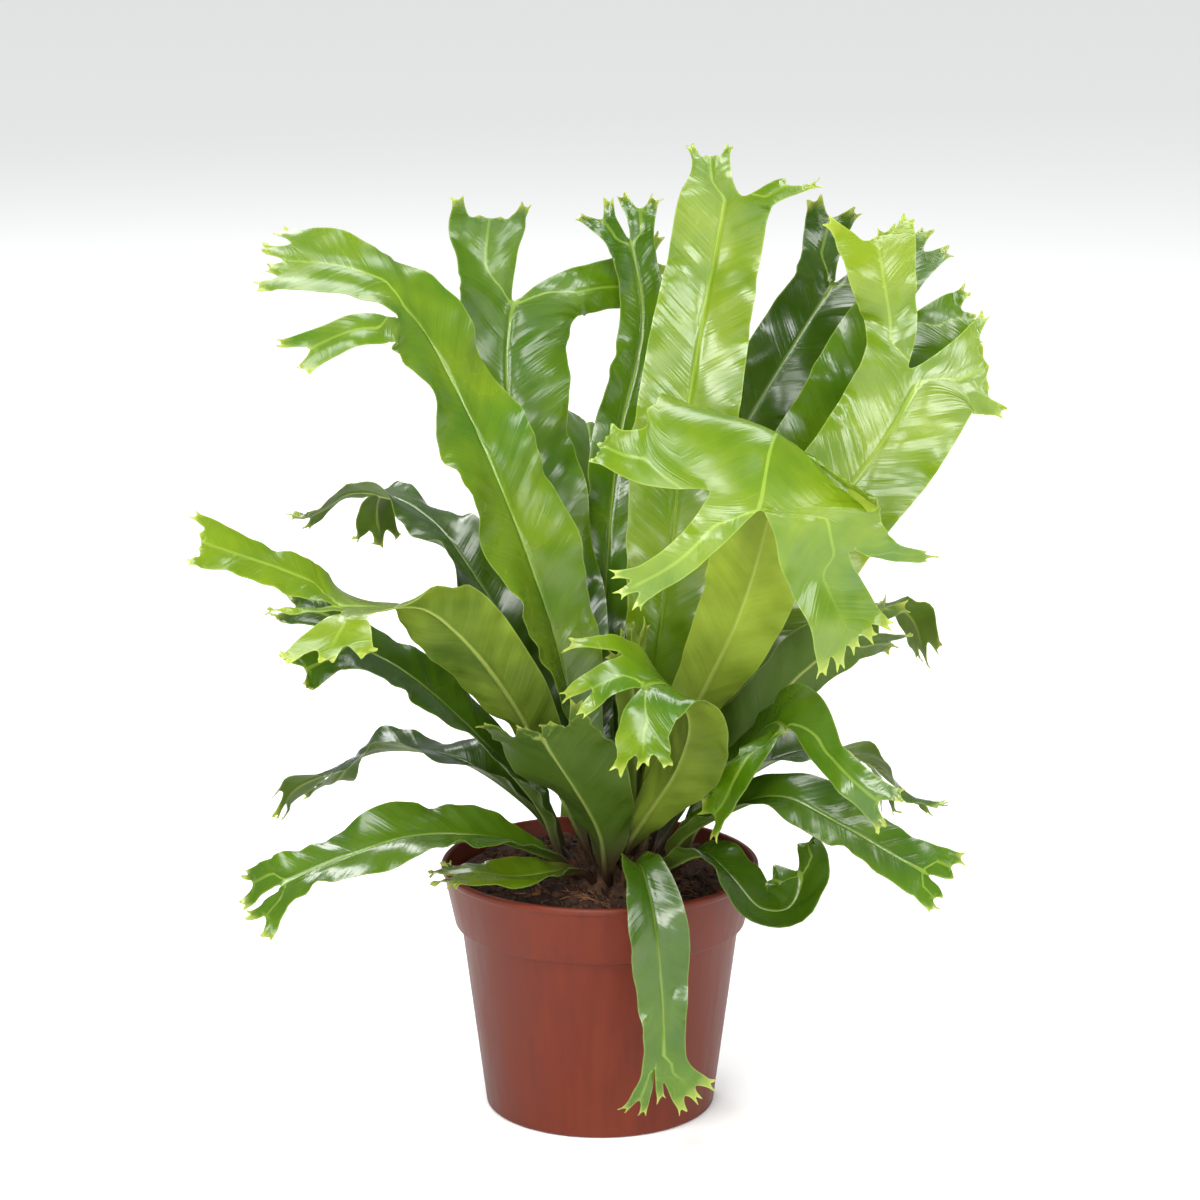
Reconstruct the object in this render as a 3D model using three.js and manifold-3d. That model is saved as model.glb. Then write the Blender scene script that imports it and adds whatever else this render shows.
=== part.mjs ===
// A crested bird's nest fern, its fronds forked like antlers, in a 12 cm plastic nursery pot.
// Millimetres, +Z up. The origin is at the middle of the pot's underside, and the pot stands on z = 0.
import * as THREE from "three";
import { mergeVertices } from "three/addons/utils/BufferGeometryUtils.js";
import Module from "manifold-3d";

const wasm = await Module();
wasm.setup();

// Pot: a thin moulded wall with a stepped band under its rim
const potRadius = 60;
const potHeight = 95;
const wall = 1.3;
const ledgeHeight = 72;
const ledgeRadius = 54.8;
const neckRadius = 52.6;
const footRadius = 43.4;
const padRadius = 14;
const grooveOuter = 37;
const grooveDepth = 3;
const grooveSlope = 2;
const footRound = 0.8;
const rimBand = 3.2;
const drainCount = 8;
const drainRadius = 4;
const drainCircle = 26.5;
const potSides = 44;

// Compost, and the crown that the fronds grow from
const seam = 0.4;
const soilEdge = 89;
const soilMound = 3;
const soilRelief = 0.8;
const crownCentre = [8, -12];
const crownRadius = 22;
const crownBase = 84.4;
const crownTop = 104.5;
const crownSides = 30;
const socketRadius = 2.75;
const socketLength = 16;
const socketSides = 8;

// Three rings of sockets for the frond roots: radius and height of a socket's floor, and its lean outwards
const heart = { radius: 5.3, floor: 98.5, lean: 10 };
const middle = { radius: 10.6, floor: 96.5, lean: 26 };
const skirt = { radius: 15.2, floor: 92.5, lean: 48 };

// Blade: its stalk in the socket, its thickness at the margin and the midrib's keel on the underside
const stalkWidth = 3.3;
const stalkThickness = 2.3;
const stalkLength = 9;
const bladeThickness = 0.7;
const keel = 0.8;
const foldAtFoot = 42;
const foldAtTip = 8;
const waveLength = 44;
const wavePhase = { right: 0.8, left: 2.9 };
const widening = 0.62;
const palmSpan = [0.55, 1];
const rowSpacing = 34;
const rowTurn = 30;
const sweptFineness = 2.2;
const cutGain = 1;
const lobeSpacing = 14;
const lobeNeck = 0.12;
const pointTaper = 0.75;

// Crests: how far a fringe's points fan out to each side in degrees, and the shortest of them
const fringeFan = 34;
const fringeReach = 7;

const rad = THREE.MathUtils.degToRad;
const { lerp, smoothstep } = THREE.MathUtils;

// A lobe turns off its parent by so many degrees to the right, runs for its length and ends so many times as
// wide as it starts. It dips by so many millimetres towards the underside and carries its own ends. A point
// runs out to nothing, and a fringe is a lobe that frays into short points, fanned evenly.
const lobe = (turn, length, spread, dip, ...ends) => ({ turn, length, spread, dip, ends });
const point = (turn, length, dip = 0) => lobe(turn, length, 0, dip);
const fringe = (turn, length, spread, dip, count) => {
  const points = Array.from({ length: count }, (_, k) => {
    const share = count > 1 ? k / (count - 1) : 0.5;
    return point(lerp(-fringeFan, fringeFan, share), fringeReach + 2 * ((2 * k + count) % 3), 1);
  });
  return lobe(turn, length, spread, dip, ...points);
};

// Each frond: its ring and its compass angle round the crown (0 is +X, 90 is +Y), the points that its midrib
// passes, how far it rolls to its right about the midrib at the foot, middle and end, its full width, how
// many times as wide it is at the fork, where along the midrib it forks, the height of its waved margin,
// and its ends from left to right. The broadest also states between which shares of the way to the fork its
// palm widens, how far its rows sweep back at the margin, and a fold at the tip that droops to both sides.
const fronds = [
  {
    name: "frond_tall_fishtail",
    tone: "light",
    ring: heart,
    azimuth: 45,
    midrib: [[18, 6, 149], [26, 12, 208], [33, 18, 266], [42, 24, 318], [50, 22, 362]],
    roll: [30, 45, 30],
    width: 40,
    palm: 0.86,
    fork: 0.925,
    wave: 2,
    ends: [
      lobe(-14, 14, 0.6, 0, point(-34, 6), point(-12, 2), point(12, 2), point(32, 6)),
      lobe(58, 14, 0.66, 2, point(-26, 3), point(8, 15)),
    ],
  },
  {
    name: "frond_upright_crest",
    tone: "mid",
    ring: heart,
    azimuth: 112,
    midrib: [[3, 14, 132], [2, 27, 190], [7, 40, 248], [16, 48, 292], [13, 49, 316], [7, 47, 338]],
    roll: [-10, -15, 0],
    width: 22,
    palm: 0.8,
    fork: 0.93,
    wave: 2,
    ends: [fringe(-14, 11, 1.2, 2, 2), fringe(20, 10, 1.2, 2, 2)],
  },
  {
    name: "frond_left_glossy",
    tone: "mid",
    ring: heart,
    azimuth: 180,
    midrib: [
      [-2, -1, 135],
      [-13, 10, 185],
      [-25, 21, 232],
      [-35, 32, 272],
      [-32, 40, 308],
      [-24, 46, 338],
    ],
    roll: [-40, -55, -60],
    width: 38,
    palm: 1.35,
    fork: 0.84,
    wave: 2,
    ends: [
      lobe(-12, 28, 1.25, 0, point(-28, 12), point(-14, 4), point(12, 4), point(26, 11)),
      lobe(74, 34, 0.9, 2, fringe(-18, 18, 1, 1, 2), fringe(22, 18, 1, 1, 2)),
    ],
  },
  {
    name: "frond_left_arching",
    tone: "light",
    ring: heart,
    azimuth: 248,
    midrib: [
      [-5, -12, 132],
      [-17, -14, 185],
      [-34, -15, 236],
      [-53, -13, 279],
      [-68, -14, 305],
      [-82, -20, 318],
    ],
    roll: [-100, -110, -90],
    width: 44,
    fork: 0.93,
    wave: 3,
    ends: [fringe(-42, 28, 1, 18, 2), fringe(4, 38, 1.15, 22, 4)],
  },
  {
    name: "frond_young_spear",
    tone: "light",
    ring: heart,
    azimuth: 318,
    midrib: [[13, -14, 128], [13, -10, 150], [11, -7, 170], [8, -7, 182]],
    roll: [0, 0, 0],
    width: 14,
    fork: 0.82,
    wave: 1,
    ends: [fringe(-20, 12, 1.2, 2, 2), fringe(20, 11, 1.2, 2, 2)],
  },
  {
    name: "frond_right_forked",
    tone: "light",
    ring: middle,
    azimuth: 28,
    midrib: [[36, 1, 151], [62, 9, 190], [89, 20, 228], [112, 29, 259], [125, 33, 288], [127, 36, 317]],
    roll: [40, 60, 60],
    width: 42,
    palm: 1.1,
    fork: 0.82,
    wave: 2,
    ends: [
      lobe(-14, 53, 1.7, 0, point(-44, 16), point(-12, 3), point(34, 9)),
      lobe(58, 17, 1, 2, point(-34, 8), point(-12, 3), point(0, 4), point(12, 3), point(34, 9)),
    ],
  },
  {
    name: "frond_right_broad",
    tone: "mid",
    ring: middle,
    azimuth: 60,
    midrib: [
      [24, 20, 154],
      [55, 40, 204],
      [85, 54, 243],
      [108, 64, 280],
      [128, 68, 303],
      [143, 64, 313],
    ],
    roll: [20, 40, 30],
    width: 38,
    fork: 0.86,
    wave: 3,
    ends: [fringe(-26, 20, 1.3, 2, 3), fringe(24, 20, 1.2, 3, 3)],
  },
  {
    name: "frond_right_back_dark",
    tone: "dark",
    ring: middle,
    azimuth: 92,
    midrib: [
      [18, 38, 156],
      [35, 60, 212],
      [60, 80, 253],
      [86, 96, 292],
      [103, 104, 315],
      [118, 102, 329],
    ],
    roll: [0, 20, 10],
    width: 32,
    fork: 0.85,
    wave: 3,
    ends: [fringe(-26, 20, 1.1, 3, 2), fringe(26, 20, 1.1, 3, 2)],
  },
  {
    name: "frond_back_arching",
    tone: "mid",
    ring: middle,
    azimuth: 122,
    midrib: [[0, 34, 146], [-2, 62, 200], [-4, 95, 236], [-6, 125, 240], [-8, 148, 222]],
    roll: [0, 10, 0],
    width: 36,
    fork: 0.82,
    wave: 3,
    ends: [fringe(-28, 28, 1.1, 5, 3), fringe(30, 26, 1.1, 5, 3)],
  },
  {
    name: "frond_back_left",
    tone: "dark",
    ring: middle,
    azimuth: 152,
    midrib: [[-18, 18, 142], [-42, 46, 184], [-68, 74, 212], [-94, 96, 216], [-112, 106, 198]],
    roll: [0, -10, 0],
    width: 34,
    fork: 0.82,
    wave: 4,
    ends: [fringe(-30, 26, 1.1, 5, 3), fringe(26, 26, 1.1, 5, 3)],
  },
  {
    name: "frond_left_pale_strap",
    tone: "light",
    ring: middle,
    azimuth: 208,
    midrib: [
      [-17, -24, 133],
      [-32, -34, 166],
      [-50, -44, 193],
      [-64, -52, 206],
      [-80, -61, 208],
      [-98, -68, 211],
      [-122, -74, 221],
    ],
    roll: [10, 60, -38],
    width: 32,
    palm: 1.2,
    fork: 0.82,
    wave: 1,
    ends: [
      lobe(-72, 14, 1.4, 5, point(-30, 10), point(0, 8), point(34, 9)),
      point(-24, 32, 2),
      lobe(-2, 54, 1.05, 0, point(-24, 8), point(-8, 4), point(8, 5), point(24, 8)),
    ],
  },
  {
    name: "frond_front_antler",
    tone: "light",
    ring: middle,
    azimuth: 272,
    midrib: [
      [16, -38, 122],
      [29, -52, 148],
      [32, -64, 169],
      [21, -76, 184],
      [4, -86, 178],
      [-6, -90, 162],
    ],
    roll: [-20, -50, -80],
    width: 32,
    palm: 1.3,
    fork: 0.76,
    wave: 2,
    ends: [
      lobe(-30, 26, 1.2, 3, point(-24, 8), point(0, 6), point(24, 8)),
      lobe(20, 14, 1, 2, point(-12, 12), point(12, 14)),
      point(52, 19, -4),
    ],
  },
  {
    name: "frond_trident",
    tone: "light",
    ring: middle,
    azimuth: 303,
    midrib: [
      [22, -24, 134],
      [36, -30, 165],
      [50, -39, 199],
      [59, -49, 233],
      [63, -59, 260],
      [62, -70, 273],
      [59, -81, 269],
      [56, -90, 255],
      [53, -96, 238],
      [51, -99, 222],
    ],
    roll: [-10, -50, -75],
    width: 36,
    palm: 2.4,
    palmSpan: [0.68, 0.87],
    sweep: 26,
    fork: 0.88,
    wave: 1,
    tipFold: -10,
    ends: [
      lobe(-32, 26, 0.9, 2,
        lobe(-76, 24, 0.4, 0, point(-20, 4), point(0, 10), point(20, 4)),
        fringe(-8, 35, 1.1, 2, 5),
      ),
      fringe(52, 44, 0.75, 5, 3),
      lobe(108, 29, 0.38, 0, point(-34, 5), point(-12, 3), point(0, 5), point(12, 3), point(36, 4)),
    ],
  },
  {
    name: "frond_right_antler",
    tone: "mid",
    ring: skirt,
    azimuth: 354,
    midrib: [[37, -22, 118], [52, -29, 145], [63, -42, 160], [67, -57, 161], [67, -69, 150]],
    roll: [-10, 0, 0],
    width: 28,
    palm: 1.2,
    fork: 0.82,
    wave: 1,
    ends: [fringe(-38, 42, 0.8, 16, 2), fringe(64, 36, 0.8, 7, 2)],
  },
  {
    name: "frond_right_dark",
    tone: "dark",
    ring: middle,
    azimuth: 335,
    midrib: [[36, -12, 126], [54, -12, 146], [73, -9, 169], [93, -7, 184], [111, -5, 191]],
    roll: [-20, -40, -20],
    width: 30,
    fork: 0.82,
    wave: 3,
    ends: [fringe(-28, 18, 1.1, 3, 2), fringe(28, 18, 1.1, 3, 2)],
  },
  {
    name: "frond_right_back_low",
    tone: "mid",
    ring: skirt,
    azimuth: 16,
    midrib: [[46, 6, 118], [72, 16, 132], [98, 28, 128], [118, 36, 110]],
    roll: [0, 0, 0],
    width: 32,
    fork: 0.8,
    wave: 4,
    ends: [fringe(-28, 24, 1.1, 4, 3), fringe(28, 24, 1.1, 4, 3)],
  },
  {
    name: "frond_back_right",
    tone: "mid",
    ring: skirt,
    azimuth: 47,
    midrib: [[36, 22, 122], [60, 52, 156], [86, 80, 174], [108, 100, 170], [124, 112, 152]],
    roll: [0, 0, 0],
    width: 34,
    fork: 0.82,
    wave: 4,
    ends: [fringe(-28, 26, 1.1, 4, 3), fringe(28, 26, 1.1, 4, 3)],
  },
  {
    name: "frond_back_hanging",
    tone: "mid",
    ring: skirt,
    azimuth: 96,
    midrib: [[4, 26, 112], [2, 50, 118], [0, 70, 108], [-2, 79, 82], [-3, 80, 54]],
    roll: [0, 0, 0],
    width: 28,
    fork: 0.8,
    wave: 2,
    ends: [fringe(-26, 18, 1.1, 2, 3), fringe(26, 18, 1.1, 2, 3)],
  },
  {
    name: "frond_left_back_low",
    tone: "dark",
    ring: skirt,
    azimuth: 160,
    midrib: [[-26, 4, 114], [-54, 16, 130], [-86, 28, 130], [-114, 36, 112]],
    roll: [0, 0, 0],
    width: 32,
    fork: 0.82,
    wave: 4,
    ends: [fringe(-28, 24, 1.1, 4, 3), fringe(28, 24, 1.1, 4, 3)],
  },
  {
    name: "frond_left_dark_strap",
    tone: "dark",
    ring: skirt,
    azimuth: 186,
    midrib: [[-22, -12, 118], [-46, -18, 149], [-72, -28, 176], [-94, -38, 190], [-112, -46, 196]],
    roll: [0, -20, -20],
    width: 27,
    fork: 0.84,
    wave: 2,
    ends: [fringe(-28, 18, 1.1, 3, 2), fringe(28, 18, 1.1, 3, 2)],
  },
  {
    name: "frond_left_low",
    tone: "mid",
    ring: skirt,
    azimuth: 209,
    midrib: [[-20, -30, 106], [-44, -48, 119], [-68, -58, 122], [-96, -66, 115], [-122, -70, 104]],
    roll: [0, -20, -20],
    width: 32,
    palm: 0.75,
    fork: 0.92,
    wave: 3,
    ends: [fringe(-16, 10, 1.1, 2, 2), fringe(16, 10, 1.1, 2, 2)],
  },
  {
    name: "frond_left_rim",
    tone: "light",
    ring: skirt,
    azimuth: 232,
    midrib: [[-16, -38, 102], [-32, -50, 104], [-46, -56, 108], [-58, -58, 110]],
    roll: [0, -20, -20],
    width: 18,
    fork: 0.78,
    wave: 2,
    ends: [fringe(-26, 9, 1.4, 2, 2), fringe(28, 9, 1.4, 2, 2)],
  },
  {
    name: "frond_front_cupped",
    tone: "dark",
    ring: skirt,
    azimuth: 255,
    midrib: [[0, -36, 116], [-9, -47, 137], [-19, -57, 156], [-27, -65, 171]],
    roll: [0, -10, 0],
    width: 44,
    fork: 0.84,
    wave: 3,
    ends: [point(-20, 16), point(0, 8), point(0, 8), point(25, 14)],
  },
  {
    name: "frond_front_hanging",
    tone: "mid",
    ring: skirt,
    azimuth: 278,
    midrib: [
      [12, -46, 107],
      [15, -62, 111],
      [19, -74, 98],
      [22, -77, 70],
      [23, -77, 46],
      [23, -75, 24],
    ],
    roll: [0, 0, 0],
    width: 25,
    palm: 0.62,
    fork: 0.84,
    wave: 1,
    ends: [
      lobe(-6, 7, 1.5, 0, lobe(-30, 8, 1.3, 0, point(-34, 8), point(-4, 7), point(20, 8)), point(-6, 12)),
      lobe(20, 14, 1.7, 0, point(-10, 9), point(26, 9)),
    ],
  },
  {
    name: "frond_right_curl",
    tone: "dark",
    ring: skirt,
    azimuth: 304,
    midrib: [
      [26, -40, 105],
      [38, -51, 113],
      [48, -61, 107],
      [58, -68, 98],
      [68, -68, 98],
      [73, -60, 107],
      [68, -53, 113],
    ],
    roll: [0, 0, 0],
    width: 26,
    fork: 0.9,
    wave: 0,
    ends: [lobe(-24, 7, 1, 0, point(-14, 4), point(16, 4)), lobe(24, 7, 1, 0, point(-14, 4), point(16, 4))],
  },
  {
    name: "frond_right_low",
    tone: "mid",
    ring: skirt,
    azimuth: 330,
    midrib: [
      [29, -30, 111],
      [46, -41, 126],
      [65, -48, 134],
      [87, -60, 127],
      [108, -70, 117],
      [121, -74, 111],
    ],
    roll: [0, 20, 30],
    width: 29,
    palm: 0.8,
    fork: 0.95,
    wave: 2,
    ends: [
      lobe(-18, 7, 1.1, 1, point(-20, 6), point(10, 5)),
      lobe(20, 7, 1.1, 1, point(-10, 5), point(20, 7)),
    ],
  },
];

// A piece of the model as a closed solid, and back
function solidOf(geometry) {
  const bare = geometry.clone();
  bare.deleteAttribute("normal");
  bare.deleteAttribute("uv");
  const merged = mergeVertices(bare, 1e-3);
  return new wasm.Manifold(
    new wasm.Mesh({
      numProp: 3,
      vertProperties: merged.attributes.position.array,
      triVerts: new Uint32Array(merged.index.array),
    }),
  );
}

function geometryOf(solid) {
  const { vertProperties, triVerts } = solid.getMesh();
  return new THREE.BufferGeometry()
    .setAttribute("position", new THREE.BufferAttribute(vertProperties, 3))
    .setIndex(new THREE.BufferAttribute(triVerts, 1));
}

// A turned piece: its profile runs up the outside and down the inside, in radius and height
function turned(profile, sides) {
  const points = profile.map(([r, z]) => new THREE.Vector2(r, z));
  return new THREE.LatheGeometry(points, sides).rotateX(Math.PI / 2);
}

function pot() {
  const grooveInner = padRadius + grooveSlope;
  const floor = wall;
  const innerFoot = footRadius - wall;
  const innerNeck = neckRadius - wall;
  const innerLedge = ledgeRadius - wall;
  const shell = turned(
    [
      [0, 0],
      [padRadius, 0],
      [grooveInner, grooveDepth],
      [grooveOuter, grooveDepth],
      [grooveOuter + grooveSlope, 0],
      [footRadius - footRound, 0],
      [footRadius, footRound],
      [neckRadius, ledgeHeight],
      [ledgeRadius, ledgeHeight],
      [potRadius - 0.9, potHeight - rimBand],
      [potRadius, potHeight - 2.4],
      [potRadius, potHeight - 0.7],
      [potRadius - 0.7, potHeight],
      [potRadius - 1.6, potHeight],
      [potRadius - 2.2, potHeight - 0.8],
      [innerLedge, ledgeHeight + wall],
      [innerNeck, ledgeHeight + wall],
      [innerFoot, floor + 1],
      [grooveOuter + 2.6, floor],
      [grooveOuter + 0.4, grooveDepth + wall],
      [grooveInner - 0.4, grooveDepth + wall],
      [padRadius - 0.6, floor],
      [0, floor],
    ],
    potSides,
  );
  let solid = solidOf(shell);
  for (let i = 0; i < drainCount; i++) {
    const angle = ((i + 0.5) / drainCount) * 2 * Math.PI;
    const drill = new THREE.CylinderGeometry(drainRadius, drainRadius, 12, 12)
      .rotateX(Math.PI / 2)
      .translate(drainCircle * Math.cos(angle), drainCircle * Math.sin(angle), grooveDepth);
    solid = solid.subtract(solidOf(drill));
  }
  return geometryOf(solid);
}

// Compost fills the pot, a little below the rim, with a plain recess for the crown
function soil() {
  const bottom = grooveDepth + wall + seam;
  const innerFoot = footRadius - wall - seam;
  const innerNeck = neckRadius - wall - seam;
  const innerLedge = ledgeRadius - wall - seam;
  const top = (r) => soilEdge + soilMound * (1 - (r / innerLedge) ** 2);
  const fill = turned(
    [
      [0, bottom],
      [innerFoot, bottom],
      [innerNeck, ledgeHeight + wall],
      [innerNeck, ledgeHeight + wall + seam],
      [innerLedge, ledgeHeight + wall + seam],
      [innerLedge + 0.9, soilEdge],
      [50, top(50)],
      [42, top(42)],
      [34, top(34)],
      [24, top(24)],
      [0, top(0)],
    ],
    potSides,
  );
  const places = fill.attributes.position;
  for (let i = 0; i < places.count; i++) {
    const [x, y, z] = [places.getX(i), places.getY(i), places.getZ(i)];
    const inside = smoothstep(innerLedge - Math.hypot(x, y), 2, 10);
    if (z > soilEdge - 1) {
      const bumps = Math.sin(x / 5.5 + 1.3) * Math.cos(y / 6.5) + 0.6 * Math.sin((x + y) / 3.1);
      places.setZ(i, z + soilRelief * inside * bumps);
    }
  }
  const recess = new THREE.CylinderGeometry(crownRadius + seam, crownRadius + seam, 30, crownSides)
    .rotateX(Math.PI / 2)
    .translate(crownCentre[0], crownCentre[1], crownBase - seam + 15);
  return geometryOf(solidOf(fill).subtract(solidOf(recess)));
}

// The crown is a knobbed dome of old frond bases, with a socket for each root
function crown() {
  const dome = turned(
    [
      [0, crownBase],
      [crownRadius - 1.5, crownBase],
      [crownRadius, crownBase + 5],
      [crownRadius - 1.2, crownBase + 10],
      [crownRadius - 4, crownBase + 14.5],
      [crownRadius * 0.6, crownTop - 2.3],
      [crownRadius * 0.3, crownTop - 0.5],
      [0, crownTop],
    ],
    crownSides,
  );
  dome.translate(crownCentre[0], crownCentre[1], 0);
  let solid = solidOf(dome);
  for (const frond of fronds) {
    const { root, up } = rootOf(frond);
    const turn = new THREE.Quaternion().setFromUnitVectors(new THREE.Vector3(0, 1, 0), up);
    const centre = root.clone().addScaledVector(up, socketLength / 2 - seam);
    const drill = new THREE.CylinderGeometry(socketRadius, socketRadius, socketLength, socketSides)
      .applyQuaternion(turn)
      .translate(centre.x, centre.y, centre.z);
    solid = solid.subtract(solidOf(drill));
  }
  return geometryOf(solid);
}

// Where a frond is rooted, the way its stalk points there, and the way out from the crown
function rootOf({ ring, azimuth }) {
  const out = new THREE.Vector3(Math.cos(rad(azimuth)), Math.sin(rad(azimuth)), 0);
  const up = out.clone().multiplyScalar(Math.sin(rad(ring.lean)));
  up.z = Math.cos(rad(ring.lean));
  const root = new THREE.Vector3(crownCentre[0], crownCentre[1], ring.floor);
  return { root: root.addScaledVector(out, ring.radius), up, out };
}

// The midrib is a smooth line that starts straight in its socket. At even steps along it this gives the
// place, the way ahead, the blade's right-hand side and its upper face, which looks to the crown at first.
function midribOf(frond) {
  const { root, up, out } = rootOf(frond);
  const stub = [0, 5, 10].map((d) => root.clone().addScaledVector(up, d));
  const rest = frond.midrib.map((p) => new THREE.Vector3(...p));
  const curve = new THREE.CatmullRomCurve3([...stub, ...rest], false, "centripetal");
  curve.arcLengthDivisions = 400;
  const steps = 160;
  const length = curve.getLength();
  const stations = [];
  let face = out.clone().negate();
  for (let i = 0; i <= steps; i++) {
    const u = i / steps;
    const ahead = curve.getTangentAt(u);
    face = face.clone().addScaledVector(ahead, -face.dot(ahead)).normalize();
    const right = ahead.clone().cross(face);
    const [foot, waist, end] = frond.roll;
    const toWaist = lerp(foot, waist, smoothstep(u, 0, 0.5));
    const roll = rad(lerp(toWaist, end, smoothstep(u, 0.5, 1)));
    stations.push({
      place: curve.getPointAt(u),
      ahead,
      side: right.clone().multiplyScalar(Math.cos(roll)).addScaledVector(face, -Math.sin(roll)),
      upper: face.clone().multiplyScalar(Math.cos(roll)).addScaledVector(right, Math.sin(roll)),
    });
  }
  return { length, stations };
}

// The place in space of a point of the blade that lies s along the midrib and v to its right
function bend(frond, { length, stations }, { s, v, lift }) {
  const last = stations.length - 1;
  const at = THREE.MathUtils.clamp((s / length) * last, 0, last);
  const low = Math.min(Math.floor(at), last - 1);
  const mix = (key) => stations[low][key].clone().lerp(stations[low + 1][key], at - low);
  const u = s / length;
  const fold = rad(lerp(foldAtFoot, frond.tipFold ?? foldAtTip, smoothstep(u, 0.05, 0.75)));
  const reach = Math.min(Math.abs(v) / (frond.width / 2), 1.4) ** 2;
  const start = (v > 0 ? wavePhase.right : wavePhase.left) + frond.azimuth / 30;
  const phase = (2 * Math.PI * s) / waveLength + start;
  const wave = frond.wave * smoothstep(u, 0.12, 0.5) * reach * Math.sin(phase);
  return mix("place")
    .addScaledVector(mix("ahead"), Math.max(s - length, 0))
    .addScaledVector(mix("side"), v * Math.cos(fold))
    .addScaledVector(mix("upper"), Math.abs(v) * Math.sin(fold) + wave + lift);
}

// Where the rows of a blade cross its midrib: closer together where it bends more, as fine as it is asked
function rowPlaces({ length, stations }, from, to, fineness) {
  const step = length / (stations.length - 1);
  const effort = [0];
  for (let i = 1; i < stations.length; i++) {
    const turn = stations[i].ahead.angleTo(stations[i - 1].ahead);
    effort.push(effort[i - 1] + step / rowSpacing + (fineness * turn) / rad(rowTurn));
  }
  const first = Math.ceil(from / step);
  const last = Math.floor(to / step);
  const count = Math.max(4, Math.round(effort[last] - effort[first]));
  const places = [from];
  for (let i = first, k = 1; i < last && k < count; i++) {
    if (effort[i] >= lerp(effort[first], effort[last], k / count)) {
      places.push(i * step);
      k++;
    }
  }
  return [...places, to];
}

// The blade laid flat: a strip down the midrib, which forks into lobes and points. Each row of the strip is
// a list of vertices from left to right, and a lobe starts from its share of its parent's last row. A quad
// between two rows is cut along its shorter diagonal, or towards the midrib where they are about alike.
function flatBlade(frond, rib) {
  const vertices = [];
  const faces = [];
  const add = (s, v, lift) => vertices.push({ s, v, lift }) - 1;
  const apart = (p, q) => Math.hypot(vertices[p].s - vertices[q].s, vertices[p].v - vertices[q].v);
  const sew = (a, b) => {
    for (let i = 0; i + 1 < a.length; i++) {
      const saving = apart(a[i], b[i + 1]) - apart(a[i + 1], b[i]);
      const rightward = Math.abs(saving) > cutGain ? saving < 0 : i < (a.length - 1) / 2;
      if (b[i] === b[i + 1]) faces.push([a[i], a[i + 1], b[i]]);
      else if (rightward) faces.push([a[i], a[i + 1], b[i + 1]], [a[i], b[i + 1], b[i]]);
      else faces.push([a[i], a[i + 1], b[i]], [a[i + 1], b[i + 1], b[i]]);
    }
  };
  const columnsOf = ({ ends }) => (ends.length ? ends.reduce((sum, end) => sum + columnsOf(end), 0) : 1);
  const columns = columnsOf(frond);
  const fork = frond.fork * rib.length;

  const [start, full] = frond.palmSpan ?? palmSpan;
  const widthAt = (s) => {
    const grown = Math.min(Math.max(s - stalkLength, 0) / (widening * fork), 1);
    const palm = lerp(1, frond.palm ?? 1, smoothstep(s, start * fork, full * fork));
    return palm * lerp(stalkWidth, frond.width, Math.sin((Math.PI / 2) * grown) ** 1.1);
  };
  let previous = null;
  for (const s of [0, ...rowPlaces(rib, stalkLength, fork, frond.sweep ? sweptFineness : 1)]) {
    const row = [];
    const back = (frond.sweep ?? 0) * smoothstep(s, start * fork, fork);
    for (let i = 0; i <= columns; i++) {
      const q = (2 * i) / columns - 1;
      row.push(add(s - back * q * q, (widthAt(s) * q) / 2, 0));
    }
    if (previous) sew(previous, row);
    previous = row;
  }
  grow(frond.ends, previous, 0, 0, 0);

  function grow(ends, base, heading, lift, slope) {
    let first = 0;
    for (const end of ends) {
      const count = columnsOf(end);
      growOne(end, base.slice(first, first + count + 1), heading, lift, slope);
      first += count;
    }
  }

  function growOne(end, base, heading, lift, slope) {
    const from = vertices[base[0]];
    const to = vertices[base[base.length - 1]];
    const half = Math.hypot(to.s - from.s, to.v - from.v) / 2;
    const start = new THREE.Vector2((from.s + to.s) / 2, (from.v + to.v) / 2);
    const ahead = (degrees) => new THREE.Vector2(Math.cos(rad(degrees)), Math.sin(rad(degrees)));
    const bendPoint = start.clone().addScaledVector(ahead(heading + end.turn / 2), end.length / 2);
    const finish = bendPoint.clone().addScaledVector(ahead(heading + end.turn), end.length / 2);
    const line = new THREE.QuadraticBezierCurve(start, bendPoint, finish);
    const pointed = !end.ends.length;
    const steps = pointed ? 2 : Math.max(2, Math.round(end.length / lobeSpacing));
    let below = base;
    for (let i = 1; i <= steps; i++) {
      const u = i / steps;
      const centre = line.getPoint(u);
      const height = lift + slope * end.length * u - end.dip * u * u;
      if (pointed && i === steps) {
        const tip = add(centre.x, centre.y, height);
        sew(below, below.map(() => tip));
        return;
      }
      const across = ahead(heading + end.turn * smoothstep(u, -0.3, 0.8) + 90);
      const widened = lerp(1, end.spread, u) - lobeNeck * Math.sin(Math.PI * u);
      const grown = half * (pointed ? (1 - u) ** pointTaper : widened);
      const row = base.map((_, k) => {
        const q = (2 * k) / (base.length - 1) - 1;
        return add(centre.x + across.x * q * grown, centre.y + across.y * q * grown, height);
      });
      sew(below, row);
      below = row;
    }
    const endLift = lift + slope * end.length - end.dip;
    const endSlope = slope - (2 * end.dip) / end.length;
    grow(end.ends, below, heading + end.turn, endLift, endSlope);
  }
  return { vertices, faces };
}

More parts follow.
